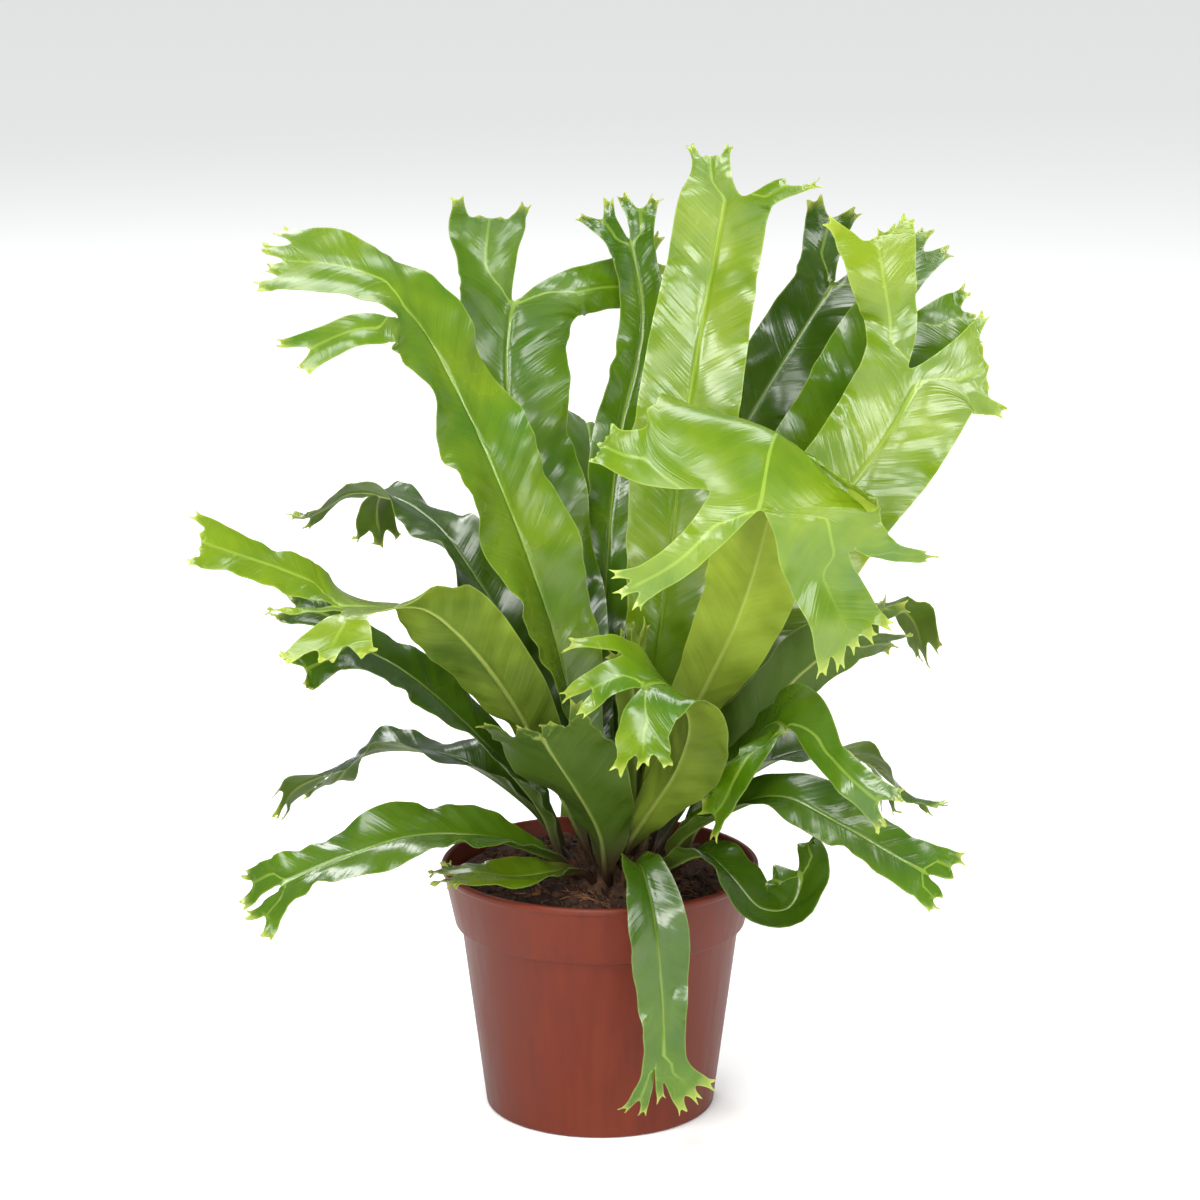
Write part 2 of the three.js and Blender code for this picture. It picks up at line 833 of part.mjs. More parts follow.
// A frond is its flat blade, bent along the midrib, thickened to both sides and closed at its margin
function blade(frond) {
  const rib = midribOf(frond);
  const { vertices, faces } = flatBlade(frond, rib);
  const places = vertices.map((vertex) => bend(frond, rib, vertex));
  const normals = places.map(() => new THREE.Vector3());
  for (const [a, b, c] of faces) {
    const edge = places[b].clone().sub(places[a]);
    const normal = places[c].clone().sub(places[a]).cross(edge).negate();
    for (const k of [a, b, c]) normals[k].add(normal);
  }
  const above = [];
  const below = [];
  vertices.forEach(({ s, v }, k) => {
    const normal = normals[k].normalize();
    const slim = smoothstep(s, 0.6 * stalkLength, 4 * stalkLength);
    const thick = lerp(stalkThickness, bladeThickness, slim) / 2;
    const ribbed = Math.abs(v) < 1e-6 ? keel * slim : 0;
    above.push(places[k].clone().addScaledVector(normal, thick));
    below.push(places[k].clone().addScaledVector(normal, -thick - ribbed));
  });
  const count = vertices.length;
  const index = [];
  const margin = new Map();
  for (const [a, b, c] of faces) {
    index.push(a, b, c, a + count, c + count, b + count);
    for (const [p, q] of [[a, b], [b, c], [c, a]]) {
      if (!margin.delete(`${q} ${p}`)) margin.set(`${p} ${q}`, [p, q]);
    }
  }
  for (const [p, q] of margin.values()) index.push(q, p, p + count, q, p + count, q + count);
  return new THREE.BufferGeometry().setFromPoints([...above, ...below]).setIndex(index);
}

// Materials
const plastic = { color: 0x9a4630, roughness: 0.45, metalness: 0 };
const compost = { color: 0x33221a, roughness: 1, metalness: 0 };
const bark = { color: 0x4a3620, roughness: 0.9, metalness: 0 };
const leaf = {
  light: { color: 0x8fbf3a, roughness: 0.35, metalness: 0 },
  mid: { color: 0x5f9428, roughness: 0.32, metalness: 0 },
  dark: { color: 0x3b6b1a, roughness: 0.3, metalness: 0 },
};

const fern = new THREE.Group();

function place(name, geometry, finish) {
  geometry.computeVertexNormals();
  const mesh = new THREE.Mesh(geometry, new THREE.MeshStandardMaterial({ ...finish, flatShading: true }));
  mesh.name = name;
  fern.add(mesh);
}

place("pot", pot(), plastic);
place("soil", soil(), compost);
place("crown", crown(), bark);
for (const frond of fronds) place(frond.name, blade(frond), leaf[frond.tone]);

export default fern;
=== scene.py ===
"""A crested bird's nest fern in a 12 cm plastic nursery pot.

Metres, +Z up, the pot's underside on z = 0. Lengths are worked out in millimetres, and the meshes
are made in metres.
"""
import math
import random
from dataclasses import dataclass

import bpy
import numpy as np
from mathutils import Matrix, Vector, kdtree, noise


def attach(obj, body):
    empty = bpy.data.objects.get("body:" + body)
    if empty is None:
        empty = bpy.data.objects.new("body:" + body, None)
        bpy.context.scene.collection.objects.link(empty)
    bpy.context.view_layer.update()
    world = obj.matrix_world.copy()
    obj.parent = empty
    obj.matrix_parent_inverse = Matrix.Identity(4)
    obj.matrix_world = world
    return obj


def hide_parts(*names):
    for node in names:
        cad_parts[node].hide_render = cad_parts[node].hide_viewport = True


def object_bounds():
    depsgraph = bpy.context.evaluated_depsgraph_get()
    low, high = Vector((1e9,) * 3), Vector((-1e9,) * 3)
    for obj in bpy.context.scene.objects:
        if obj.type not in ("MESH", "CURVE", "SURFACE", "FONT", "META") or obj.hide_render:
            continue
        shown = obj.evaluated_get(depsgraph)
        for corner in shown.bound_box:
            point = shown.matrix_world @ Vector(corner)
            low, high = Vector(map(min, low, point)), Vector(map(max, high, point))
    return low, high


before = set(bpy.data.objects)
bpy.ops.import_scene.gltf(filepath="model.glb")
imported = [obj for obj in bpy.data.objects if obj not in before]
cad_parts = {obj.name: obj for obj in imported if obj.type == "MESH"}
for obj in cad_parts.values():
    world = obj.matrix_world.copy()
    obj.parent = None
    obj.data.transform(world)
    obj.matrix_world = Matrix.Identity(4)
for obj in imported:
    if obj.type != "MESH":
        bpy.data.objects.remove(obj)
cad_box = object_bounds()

MM = 0.001
SEED = 11

# Pot, in millimetres: a thin moulded wall with a stepped band under its rim
POT_RADIUS = 60
POT_HEIGHT = 95
WALL = 1.3
LEDGE_HEIGHT = 72
LEDGE_RADIUS = 54.8
NECK_RADIUS = 52.6
FOOT_RADIUS = 43.4
PAD_RADIUS = 14
GROOVE_OUTER = 37
GROOVE_DEPTH = 3
GROOVE_SLOPE = 2
DRAIN_COUNT = 8
DRAIN_RADIUS = 4
DRAIN_CIRCLE = 26.5
POT_SIDES = 176
POT_ROUNDING = 0.45

# Compost and crown, in millimetres
SEAM = 0.4
SOIL_EDGE = 89
SOIL_MOUND = 3
SOIL_SIDES = 150
CROWN_CENTRE = (8, -12)
CROWN_RADIUS = 22
CROWN_BASE = 84.4
CROWN_TOP = 104.5
SCALES = 170
SCALE_CIRCLE = CROWN_RADIUS * 0.93

# Loose litter, in millimetres: how many bits, the circle they start in and the edge they stay in
CRUMBS = 700
CRUMB_CIRCLE = 51
CRUMB_EDGE = 52.5
FIBRES = 230
FIBRE_CIRCLE = 44
FIBRE_EDGE = 51.5
FIBRE_STEP = 1.5
FIBRE_SIDES = 4

# Three rings of fronds on the crown: how far out and how high they are rooted, and how far they
# lean out
heart = {"radius": 5.3, "floor": 98.5, "lean": 10}
middle = {"radius": 10.6, "floor": 96.5, "lean": 26}
skirt = {"radius": 15.2, "floor": 92.5, "lean": 48}

# Blade, in millimetres, degrees and shares
STALK_WIDTH = 3.3
STALK_THICKNESS = 2.3
STALK_LENGTH = 9
STALK_STEP = 5
BLADE_THICKNESS = 0.5
KEEL = 0.8
FOLD_AT_FOOT = 42
FOLD_AT_TIP = 8
WAVE_LENGTH = 44
WAVE_LIMIT = 1.4
WAVE_PHASE = {"right": 0.8, "left": 2.9}
WIDENING = 0.62
PALM_SPAN = (0.55, 1)
LOBE_SPACING = 14
LOBE_NECK = 0.12
POINT_TAPER = 0.75
FRINGE_FAN = 34
FRINGE_REACH = 7
STATIONS = 160

# The blade's own relief: how far the side veins slant for each step aside, and in millimetres how
# high the ruffles, quilting and swells are and how long their waves are
VEIN_LEAN = 0.75
RUFFLE = 0.5
RUFFLE_WAVES = (17, 10.3)
QUILTING = 0.17
QUILT_WAVES = (8.7, 13.1)
SWELL = 0.9
SWELL_WAVE = 37
PACE_WAVE = 61

# How finely a blade is meshed: rows along it and lines across it, which crowd at the midrib
ROW = 2.0
LINES_ACROSS = 26
CROWDING = 1.5

# The small teeth that end the longer points, in millimetres and degrees
TOOTH_LENGTH = 4.5
TOOTH_FROM = 6
TOOTH_CURL = 2.2
TOOTH_TURN = 26
TOOTH_SCATTER = 12

# How far into the crest a lobe's end and a tooth's foot are, from 0 in the blade to 1 at the tips
LOBE_CREST = 0.3
TOOTH_CREST = 0.85

# How the flat blade's forks and kinks are rounded: how far each round moves a point, and how firmly
# the crest holds against it
ROUNDING_ROUNDS = 6
ROUNDING = 0.55
CREST_HOLD = 0.75


@dataclass
class Lobe:
    """A lobe turns off its parent, runs for its length and ends so many times as wide as it starts.

    Its end hangs lower than its start by its dip, and its own ends grow from there.
    """

    turn: float
    length: float
    spread: float
    dip: float
    ends: tuple = ()


def lobe(turn, length, spread, dip, *ends):
    return Lobe(turn, length, spread, dip, ends)


def point(turn, length, dip=0):
    return Lobe(turn, length, 0, dip)


def fringe(turn, length, spread, dip, count):
    """A lobe that frays into short points, fanned evenly."""
    points = []
    for k in range(count):
        share = k / (count - 1) if count > 1 else 0.5
        reach = FRINGE_REACH + 2 * ((2 * k + count) % 3)
        points.append(point(FRINGE_FAN * (2 * share - 1), reach, 1))
    return Lobe(turn, length, spread, dip, tuple(points))


def twins(turn, length, spread, dip, count):
    """Two fringed lobes, turned off to either side by the same angle."""
    return [fringe(side * turn, length, spread, dip, count) for side in (-1, 1)]


@dataclass
class Frond:
    """A frond of a ring at a compass angle round the crown, with the points that its midrib passes.

    The broadest one also states where its palm widens, how far its rows sweep back at the margin
    and how its tip folds. Youth, from 0 to 1, is how young the upper face looks, and it is drawn at
    random where it isn't stated. Pallor is how pale the underside is: set high, it is painted light
    shining through the blade, and set low, painted shade.
    """

    name: str
    tone: str
    ring: dict
    azimuth: float
    midrib: list
    width: float
    fork: float
    wave: float
    ends: list
    roll: tuple = (0, 0, 0)
    palm: float = 1
    palm_span: tuple = PALM_SPAN
    sweep: float = 0
    tip_fold: float = FOLD_AT_TIP
    youth: float = None
    pallor: float = 0.4


FRONDS = [
    Frond("tall_fishtail", "light", heart, 45,
          [(18, 6, 149), (26, 12, 208), (33, 18, 266), (42, 24, 318), (50, 22, 362)],
          roll=(30, 45, 30), width=40, palm=0.86, fork=0.925, wave=2, youth=0.75,
          ends=[lobe(-14, 14, 0.6, 0, point(-34, 6), point(-12, 2), point(12, 2), point(32, 6)),
                lobe(58, 14, 0.66, 2, point(-26, 3), point(8, 15))]),
    Frond("upright_crest", "mid", heart, 112,
          [(3, 14, 132), (2, 27, 190), (7, 40, 248), (16, 48, 292), (13, 49, 316), (7, 47, 338)],
          roll=(-10, -15, 0), width=22, palm=0.8, fork=0.93, wave=2,
          ends=[fringe(-14, 11, 1.2, 2, 2), fringe(20, 10, 1.2, 2, 2)]),
    Frond("left_glossy", "mid", heart, 180,
          [(-2, -1, 135), (-13, 10, 185), (-25, 21, 232), (-35, 32, 272), (-32, 40, 308),
           (-24, 46, 338)],
          roll=(-40, -55, -60), width=38, palm=1.35, fork=0.84, wave=2,
          ends=[lobe(-12, 28, 1.25, 0, point(-28, 12), point(-14, 4), point(12, 4), point(26, 11)),
                lobe(74, 34, 0.9, 2, fringe(-18, 18, 1, 1, 2), fringe(22, 18, 1, 1, 2))]),
    Frond("left_arching", "light", heart, 248,
          [(-5, -12, 132), (-17, -14, 185), (-34, -15, 236), (-53, -13, 279), (-68, -14, 305),
           (-82, -20, 318)],
          roll=(-100, -110, -90), width=44, fork=0.93, wave=3, youth=0,
          ends=[fringe(-42, 28, 1, 18, 2), fringe(4, 38, 1.15, 22, 4)]),
    Frond("young_spear", "light", heart, 318,
          [(13, -14, 128), (13, -10, 150), (11, -7, 170), (8, -7, 182)],
          width=14, fork=0.82, wave=1,
          ends=[fringe(-20, 12, 1.2, 2, 2), fringe(20, 11, 1.2, 2, 2)]),
    Frond("right_forked", "light", middle, 28,
          [(36, 1, 151), (62, 9, 190), (89, 20, 228), (112, 29, 259), (125, 33, 288),
           (127, 36, 317)],
          roll=(40, 60, 60), width=42, palm=1.1, fork=0.82, wave=2, youth=0.75,
          ends=[lobe(-14, 53, 1.7, 0, point(-44, 16), point(-12, 3), point(34, 9)),
                lobe(58, 17, 1, 2, point(-34, 8), point(-12, 3), point(0, 4), point(12, 3),
                     point(34, 9))]),
    Frond("right_broad", "mid", middle, 60,
          [(24, 20, 154), (55, 40, 204), (85, 54, 243), (108, 64, 280), (128, 68, 303),
           (143, 64, 313)],
          roll=(20, 40, 30), width=38, fork=0.86, wave=3,
          ends=[fringe(-26, 20, 1.3, 2, 3), fringe(24, 20, 1.2, 3, 3)]),
    Frond("right_back_dark", "dark", middle, 92,
          [(18, 38, 156), (35, 60, 212), (60, 80, 253), (86, 96, 292), (103, 104, 315),
           (118, 102, 329)],
          roll=(0, 20, 10), width=32, fork=0.85, wave=3,
          ends=twins(26, 20, 1.1, 3, 2)),
    Frond("back_arching", "mid", middle, 122,
          [(0, 34, 146), (-2, 62, 200), (-4, 95, 236), (-6, 125, 240), (-8, 148, 222)],
          roll=(0, 10, 0), width=36, fork=0.82, wave=3,
          ends=[fringe(-28, 28, 1.1, 5, 3), fringe(30, 26, 1.1, 5, 3)]),
    Frond("back_left", "dark", middle, 152,
          [(-18, 18, 142), (-42, 46, 184), (-68, 74, 212), (-94, 96, 216), (-112, 106, 198)],
          roll=(0, -10, 0), width=34, fork=0.82, wave=4,
          ends=[fringe(-30, 26, 1.1, 5, 3), fringe(26, 26, 1.1, 5, 3)]),
    Frond("left_pale_strap", "light", middle, 208,
          [(-17, -24, 133), (-32, -34, 166), (-50, -44, 193), (-64, -52, 206), (-80, -61, 208),
           (-98, -68, 211), (-122, -74, 221)],
          # pallor=0: this underside is painted shade
          roll=(10, 60, -38), width=32, palm=1.2, fork=0.82, wave=1, youth=0.7, pallor=0,
          ends=[lobe(-72, 14, 1.4, 5, point(-30, 10), point(0, 8), point(34, 9)),
                point(-24, 32, 2),
                lobe(-2, 54, 1.05, 0, point(-24, 8), point(-8, 4), point(8, 5), point(24, 8))]),
    Frond("front_antler", "light", middle, 272,
          [(16, -38, 122), (29, -52, 148), (32, -64, 169), (21, -76, 184), (4, -86, 178),
           (-6, -90, 162)],
          roll=(-20, -50, -80), width=32, palm=1.3, fork=0.76, wave=2, youth=0.15,
          ends=[lobe(-30, 26, 1.2, 3, point(-24, 8), point(0, 6), point(24, 8)),
                lobe(20, 14, 1, 2, point(-12, 12), point(12, 14)),
                point(52, 19, -4)]),
    Frond("trident", "light", middle, 303,
          [(22, -24, 134), (36, -30, 165), (50, -39, 199), (59, -49, 233), (63, -59, 260),
           (62, -70, 273), (59, -81, 269), (56, -90, 255), (53, -96, 238), (51, -99, 222)],
          roll=(-10, -50, -75), width=36, palm=2.4, fork=0.88, wave=1,
          # pallor=1: this underside is painted light, as if light shone through it
          palm_span=(0.68, 0.87), sweep=26, tip_fold=-10, youth=0.4, pallor=1,
          ends=[lobe(-32, 26, 0.9, 2,
                     lobe(-76, 24, 0.4, 0, point(-20, 4), point(0, 10), point(20, 4)),
                     fringe(-8, 35, 1.1, 2, 5)),
                fringe(52, 44, 0.75, 5, 3),
                lobe(108, 29, 0.38, 0, point(-34, 5), point(-12, 3), point(0, 5), point(12, 3),
                     point(36, 4))]),
    Frond("right_antler", "mid", skirt, 354,
          [(37, -22, 118), (52, -29, 145), (63, -42, 160), (67, -57, 161), (67, -69, 150)],
          roll=(-10, 0, 0), width=28, palm=1.2, fork=0.82, wave=1,
          ends=[fringe(-38, 42, 0.8, 16, 2), fringe(64, 36, 0.8, 7, 2)]),
    Frond("right_dark", "dark", middle, 335,
          [(36, -12, 126), (54, -12, 146), (73, -9, 169), (93, -7, 184), (111, -5, 191)],
          roll=(-20, -40, -20), width=30, fork=0.82, wave=3,
          ends=twins(28, 18, 1.1, 3, 2)),
    Frond("right_back_low", "mid", skirt, 16,
          [(46, 6, 118), (72, 16, 132), (98, 28, 128), (118, 36, 110)],
          width=32, fork=0.8, wave=4,
          ends=twins(28, 24, 1.1, 4, 3)),
    Frond("back_right", "mid", skirt, 47,
          [(36, 22, 122), (60, 52, 156), (86, 80, 174), (108, 100, 170), (124, 112, 152)],
          width=34, fork=0.82, wave=4,
          ends=twins(28, 26, 1.1, 4, 3)),
    Frond("back_hanging", "mid", skirt, 96,
          [(4, 26, 112), (2, 50, 118), (0, 70, 108), (-2, 79, 82), (-3, 80, 54)],
          width=28, fork=0.8, wave=2,
          ends=twins(26, 18, 1.1, 2, 3)),
    Frond("left_back_low", "dark", skirt, 160,
          [(-26, 4, 114), (-54, 16, 130), (-86, 28, 130), (-114, 36, 112)],
          width=32, fork=0.82, wave=4,
          ends=twins(28, 24, 1.1, 4, 3)),
    Frond("left_dark_strap", "dark", skirt, 186,
          [(-22, -12, 118), (-46, -18, 149), (-72, -28, 176), (-94, -38, 190), (-112, -46, 196)],
          roll=(0, -20, -20), width=27, fork=0.84, wave=2,
          ends=twins(28, 18, 1.1, 3, 2)),
    Frond("left_low", "mid", skirt, 209,
          [(-20, -30, 106), (-44, -48, 119), (-68, -58, 122), (-96, -66, 115), (-122, -70, 104)],
          roll=(0, -20, -20), width=32, palm=0.75, fork=0.92, wave=3,
          ends=twins(16, 10, 1.1, 2, 2)),
    Frond("left_rim", "light", skirt, 232,
          [(-16, -38, 102), (-32, -50, 104), (-46, -56, 108), (-58, -58, 110)],
          roll=(0, -20, -20), width=18, fork=0.78, wave=2, youth=1,
          ends=[fringe(-26, 9, 1.4, 2, 2), fringe(28, 9, 1.4, 2, 2)]),
    Frond("front_cupped", "dark", skirt, 255,
          [(0, -36, 116), (-9, -47, 137), (-19, -57, 156), (-27, -65, 171)],
          roll=(0, -10, 0), width=44, fork=0.84, wave=3,
          ends=[point(-20, 16), point(0, 8), point(0, 8), point(25, 14)]),
    Frond("front_hanging", "mid", skirt, 278,
          [(12, -46, 107), (15, -62, 111), (19, -74, 98), (22, -77, 70), (23, -77, 46),
           (23, -75, 24)],
          width=25, palm=0.62, fork=0.84, wave=1, youth=0.3,
          ends=[lobe(-6, 7, 1.5, 0,
                     lobe(-30, 8, 1.3, 0, point(-34, 8), point(-4, 7), point(20, 8)),
                     point(-6, 12)),
                lobe(20, 14, 1.7, 0, point(-10, 9), point(26, 9))]),
    Frond("right_curl", "dark", skirt, 304,
          [(26, -40, 105), (38, -51, 113), (48, -61, 107), (58, -68, 98), (68, -68, 98),
           (73, -60, 107), (68, -53, 113)],
          width=26, fork=0.9, wave=0,
          ends=[lobe(-24, 7, 1, 0, point(-14, 4), point(16, 4)),
                lobe(24, 7, 1, 0, point(-14, 4), point(16, 4))]),
    Frond("right_low", "mid", skirt, 330,
          [(29, -30, 111), (46, -41, 126), (65, -48, 134), (87, -60, 127), (108, -70, 117),
           (121, -74, 111)],
          roll=(0, 20, 30), width=29, palm=0.8, fork=0.95, wave=2,
          ends=[lobe(-18, 7, 1.1, 1, point(-20, 6), point(10, 5)),
                lobe(20, 7, 1.1, 1, point(-10, 5), point(20, 7))]),
]


def lerp(a, b, t):
    return a + (b - a) * t


def smooth(x, low, high):
    t = np.clip((np.asarray(x, float) - low) / (high - low), 0, 1)
    return t * t * (3 - 2 * t)


def unit(vectors):
    return vectors / np.linalg.norm(vectors, axis=-1, keepdims=True)


def compass(degrees):
    return np.array([math.cos(math.radians(degrees)), math.sin(math.radians(degrees))])


# The midrib's line

def spline(points, steps=60):
    """A smooth line through the points: a centripetal Catmull-Rom spline."""
    p = np.array(points, float)
    p = np.vstack([2 * p[0] - p[1], p, 2 * p[-1] - p[-2]])
    t = np.linspace(0, 1, steps, endpoint=False)[:, None]
    line = []
    for a, b, c, d in zip(p, p[1:], p[2:], p[3:]):
        ab, bc, cd = (math.sqrt(np.linalg.norm(y - x)) for x, y in ((a, b), (b, c), (c, d)))
        leave = ((b - a) / ab - (c - a) / (ab + bc) + (c - b) / bc) * bc
        arrive = ((c - b) / bc - (d - b) / (bc + cd) + (d - c) / cd) * bc
        square = 3 * (c - b) - 2 * leave - arrive
        cube = 2 * (b - c) + leave + arrive
        line.append(b + leave * t + square * t**2 + cube * t**3)
    return np.vstack(line + [p[-2]])


def midrib_of(frond):
    """Even stations along the midrib: place, way ahead, right-hand side and upper face."""
    out = np.append(compass(frond.azimuth), 0)
    lean = math.radians(frond.ring["lean"])
    up = math.sin(lean) * out + np.array([0, 0, math.cos(lean)])
    root = np.array([*CROWN_CENTRE, frond.ring["floor"]]) + frond.ring["radius"] * out
    line = spline([root, root + STALK_STEP * up, root + 2 * STALK_STEP * up, *frond.midrib])
    run = np.append(0, np.cumsum(np.linalg.norm(np.diff(line, axis=0), axis=1)))
    even = np.linspace(0, run[-1], STATIONS + 1)
    place = np.column_stack([np.interp(even, run, line[:, k]) for k in range(3)])
    ahead = unit(np.gradient(place, axis=0))
    side = np.zeros_like(place)
    upper = np.zeros_like(place)
    face = -out
    foot, waist, end = frond.roll
    for i in range(STATIONS + 1):
        u = i / STATIONS
        face = unit(face - np.dot(face, ahead[i]) * ahead[i])
        right = np.cross(ahead[i], face)
        to_waist = lerp(foot, waist, float(smooth(u, 0, 0.5)))
        roll = math.radians(lerp(to_waist, end, float(smooth(u, 0.5, 1))))
        side[i] = right * math.cos(roll) - face * math.sin(roll)
        upper[i] = face * math.cos(roll) + right * math.sin(roll)
    return {"length": run[-1], "place": place, "ahead": ahead, "side": side, "upper": upper}


def bend(frond, rib, s, v, lift):
    """Places in space of the blade's flat points, s along the midrib and v to its right."""
    length = rib["length"]
    at = np.clip(s / length * STATIONS, 0, STATIONS)
    low = np.minimum(at.astype(int), STATIONS - 1)
    share = (at - low)[:, None]

    def mix(key):
        return lerp(rib[key][low], rib[key][low + 1], share)

    u = s / length
    fold = np.radians(lerp(FOLD_AT_FOOT, frond.tip_fold, smooth(u, 0.05, 0.75)))
    reach = np.minimum(np.abs(v) / (frond.width / 2), WAVE_LIMIT) ** 2
    start = np.where(v > 0, WAVE_PHASE["right"], WAVE_PHASE["left"]) + frond.azimuth / 30
    wave = frond.wave * smooth(u, 0.12, 0.5) * reach * np.sin(2 * math.pi * s / WAVE_LENGTH + start)
    past = np.maximum(s - length, 0)[:, None]
    out = (v * np.cos(fold))[:, None]
    raised = (np.abs(v) * np.sin(fold) + wave + lift)[:, None]
    return mix("place") + mix("ahead") * past + mix("side") * out + mix("upper") * raised


# The blade laid flat

S, V, LIFT, ALONG, ACROSS, CREST = range(6)


class FlatBlade:
    """Rows of points laid flat, and the faces between them.

    Each point has its S along the midrib and V to the right, its LIFT off the sheet, its place ALONG
    and ACROSS its own lobe, and how far it is into the CREST.
    """

    def __init__(self):
        self.points = np.zeros((60000, 6))
        self.count = 0
        self.faces = []

    def add(self, *columns):
        rows = np.column_stack(np.broadcast_arrays(*[np.atleast_1d(c) for c in columns]))
        first = self.count
        self.count += len(rows)
        self.points[first:self.count] = rows
        return np.arange(first, self.count)

    def sew(self, low, high):
        for i in range(len(low) - 1):
            if len(high) == 1:
                self.faces.append((low[i], low[i + 1], high[0]))
            else:
                self.faces.append((low[i], low[i + 1], high[i + 1], high[i]))


def columns_of(end):
    return sum(columns_of(e) for e in end.ends) if end.ends else 1


def shares_across(columns):
    """Where the lines of vertices lie across the blade, in columns: closest at the midrib."""
    fine = 2 * max(1, round(LINES_ACROSS / columns / 2))
    shares = [0.0]
    for column in range(columns):
        for k in range(1, fine + 1):
            t = k / fine
            if column == columns // 2:
                t = t**CROWDING
            elif column == columns // 2 - 1:
                t = 1 - (1 - t) ** CROWDING
            shares.append(column + t)
    return np.array(shares)


def grow(flat, ends, base, shares, heading, lift, slope, crest, draw):
    first = shares[0]
    for end in ends:
        last = first + columns_of(end)
        mine = (shares > first - 1e-6) & (shares < last + 1e-6)
        grow_one(flat, end, base[mine], shares[mine], heading, lift, slope, crest, draw)
        first = last


def grow_one(flat, end, base, shares, heading, lift, slope, crest, draw):
    """One lobe: rows along a bent line, from its share of its parent's last row to its tip."""
    here = flat.points[base].copy()
    half = np.hypot(*(here[-1, :2] - here[0, :2])) / 2
    start = (here[0, :2] + here[-1, :2]) / 2
    knee = start + compass(heading + end.turn / 2) * end.length / 2
    finish = knee + compass(heading + end.turn) * end.length / 2
    pointed = not end.ends
    toothed = pointed and end.length >= TOOTH_FROM
    stop = 1 - min(0.4, TOOTH_LENGTH / end.length) if toothed else 1
    settle = 1 / (2 if pointed else max(2, int(end.length / LOBE_SPACING + 0.5)))
    steps = max(3, round(stop * end.length / ROW))
    q = 2 * (shares - shares[0]) / (shares[-1] - shares[0]) - 1
    finish_crest = 1 if pointed else crest + LOBE_CREST
    low = base
    for i in range(1, steps + 1):
        u = stop * i / steps
        centre = (1 - u) ** 2 * start + 2 * u * (1 - u) * knee + u * u * finish
        height = lift + slope * end.length * u - end.dip * u * u
        along = lerp(here[:, ALONG], here[:, ALONG].mean(), u) + end.length * u
        if pointed and not toothed and i == steps:
            tip = flat.add(centre[0], centre[1], height, along.mean(), 0, finish_crest)
            flat.sew(low, tip)
            return
        across = compass(heading + end.turn * float(smooth(u, -0.3, 0.8)) + 90)
        widened = lerp(1, end.spread, u) - LOBE_NECK * math.sin(math.pi * u)
        grown = half * ((1 - u) ** POINT_TAPER if pointed else widened)
        settled = float(smooth(u, 0, settle))
        own = centre + np.outer(q * grown, across)
        place = lerp(here[:, :2] + centre - start, own, settled)
        aside = lerp(here[:, ACROSS], q * grown, settled)
        row = flat.add(place[:, 0], place[:, 1], height, along, aside, lerp(crest, finish_crest, u))
        flat.sew(low, row)
        low = row
    height = lift + slope * end.length * stop - end.dip * stop * stop
    ahead = heading + end.turn
    if toothed:
        middle = len(low) // 2
        halves = (slice(None, middle + 1), -TOOTH_TURN), (slice(middle, None), TOOTH_TURN)
        for part, turn in halves:
            tooth = point(turn + draw.uniform(-TOOTH_SCATTER, TOOTH_SCATTER),
                          TOOTH_LENGTH * draw.uniform(0.7, 1.25),
                          draw.uniform(-TOOTH_CURL, TOOTH_CURL))
            grow_one(flat, tooth, low[part], shares[part], ahead, height, 0, TOOTH_CREST, draw)
    else:
        steeper = slope - 2 * end.dip / end.length
        grow(flat, end.ends, low, shares, ahead, height, steeper, finish_crest, draw)


def flat_blade(frond, rib, draw):
    """The whole blade laid flat: a strip down the midrib, which forks into lobes and points."""
    flat = FlatBlade()
    columns = sum(columns_of(end) for end in frond.ends)
    shares = shares_across(columns)
    fork = frond.fork * rib["length"]
    rows = np.linspace(0, fork, round(fork / ROW) + 1)
    start, full = (share * fork for share in frond.palm_span)
    low = None
    for s in rows:
        grown = min(max(s - STALK_LENGTH, 0) / (WIDENING * fork), 1)
        palm = lerp(1, frond.palm, float(smooth(s, start, full)))
        width = palm * lerp(STALK_WIDTH, frond.width, math.sin(math.pi / 2 * grown) ** 1.1)
        q = 2 * shares / columns - 1
        v = width * q / 2
        swept = s - frond.sweep * float(smooth(s, start, fork)) * q * q
        row = flat.add(swept, v, 0, swept, v, 0)
        if low is not None:
            flat.sew(low, row)
        low = row
    grow(flat, frond.ends, low, shares, 0, 0, 0, 0, draw)
    return flat, fork


def rim_edges(faces):
    """The edges that only one face has, each in that face's direction."""
    edges = {}
    for face in faces:
        for a, b in zip(face, face[1:] + face[:1]):
            if (b, a) in edges:
                del edges[(b, a)]
            else:
                edges[(a, b)] = True
    return list(edges)


def relax(flat, faces, rim, fork):
    """Rounds the forks and the lobes' kinks: a point moves towards its neighbours, a margin along
    itself."""
    pairs = {(a, b) for face in faces for a, b in zip(face, face[1:] + face[:1])}
    pairs = np.array([*pairs, *((b, a) for a, b in pairs)])
    rim = np.array(rim)
    on_rim = np.zeros(flat.count, bool)
    on_rim[rim.ravel()] = True
    inner = pairs[~on_rim[pairs[:, 0]]]
    links = np.vstack([inner, rim, rim[:, ::-1]])
    share = np.zeros(flat.count)
    np.add.at(share, links[:, 0], 1)
    points = flat.points[:flat.count]
    crest = points[:, CREST]
    in_blade = smooth(points[:, S], fork - 12, fork - 2)
    held = ROUNDING * (1 - CREST_HOLD * smooth(crest, 0.6, 0.9))
    free = held * np.where(crest > 0, 1, in_blade)
    for _ in range(ROUNDING_ROUNDS):
        total = np.zeros((flat.count, 3))
        np.add.at(total, links[:, 0], points[links[:, 1], :3])
        mean = total / np.maximum(share, 1)[:, None]
        points[:, :3] += (mean - points[:, :3]) * free[:, None]
    return points


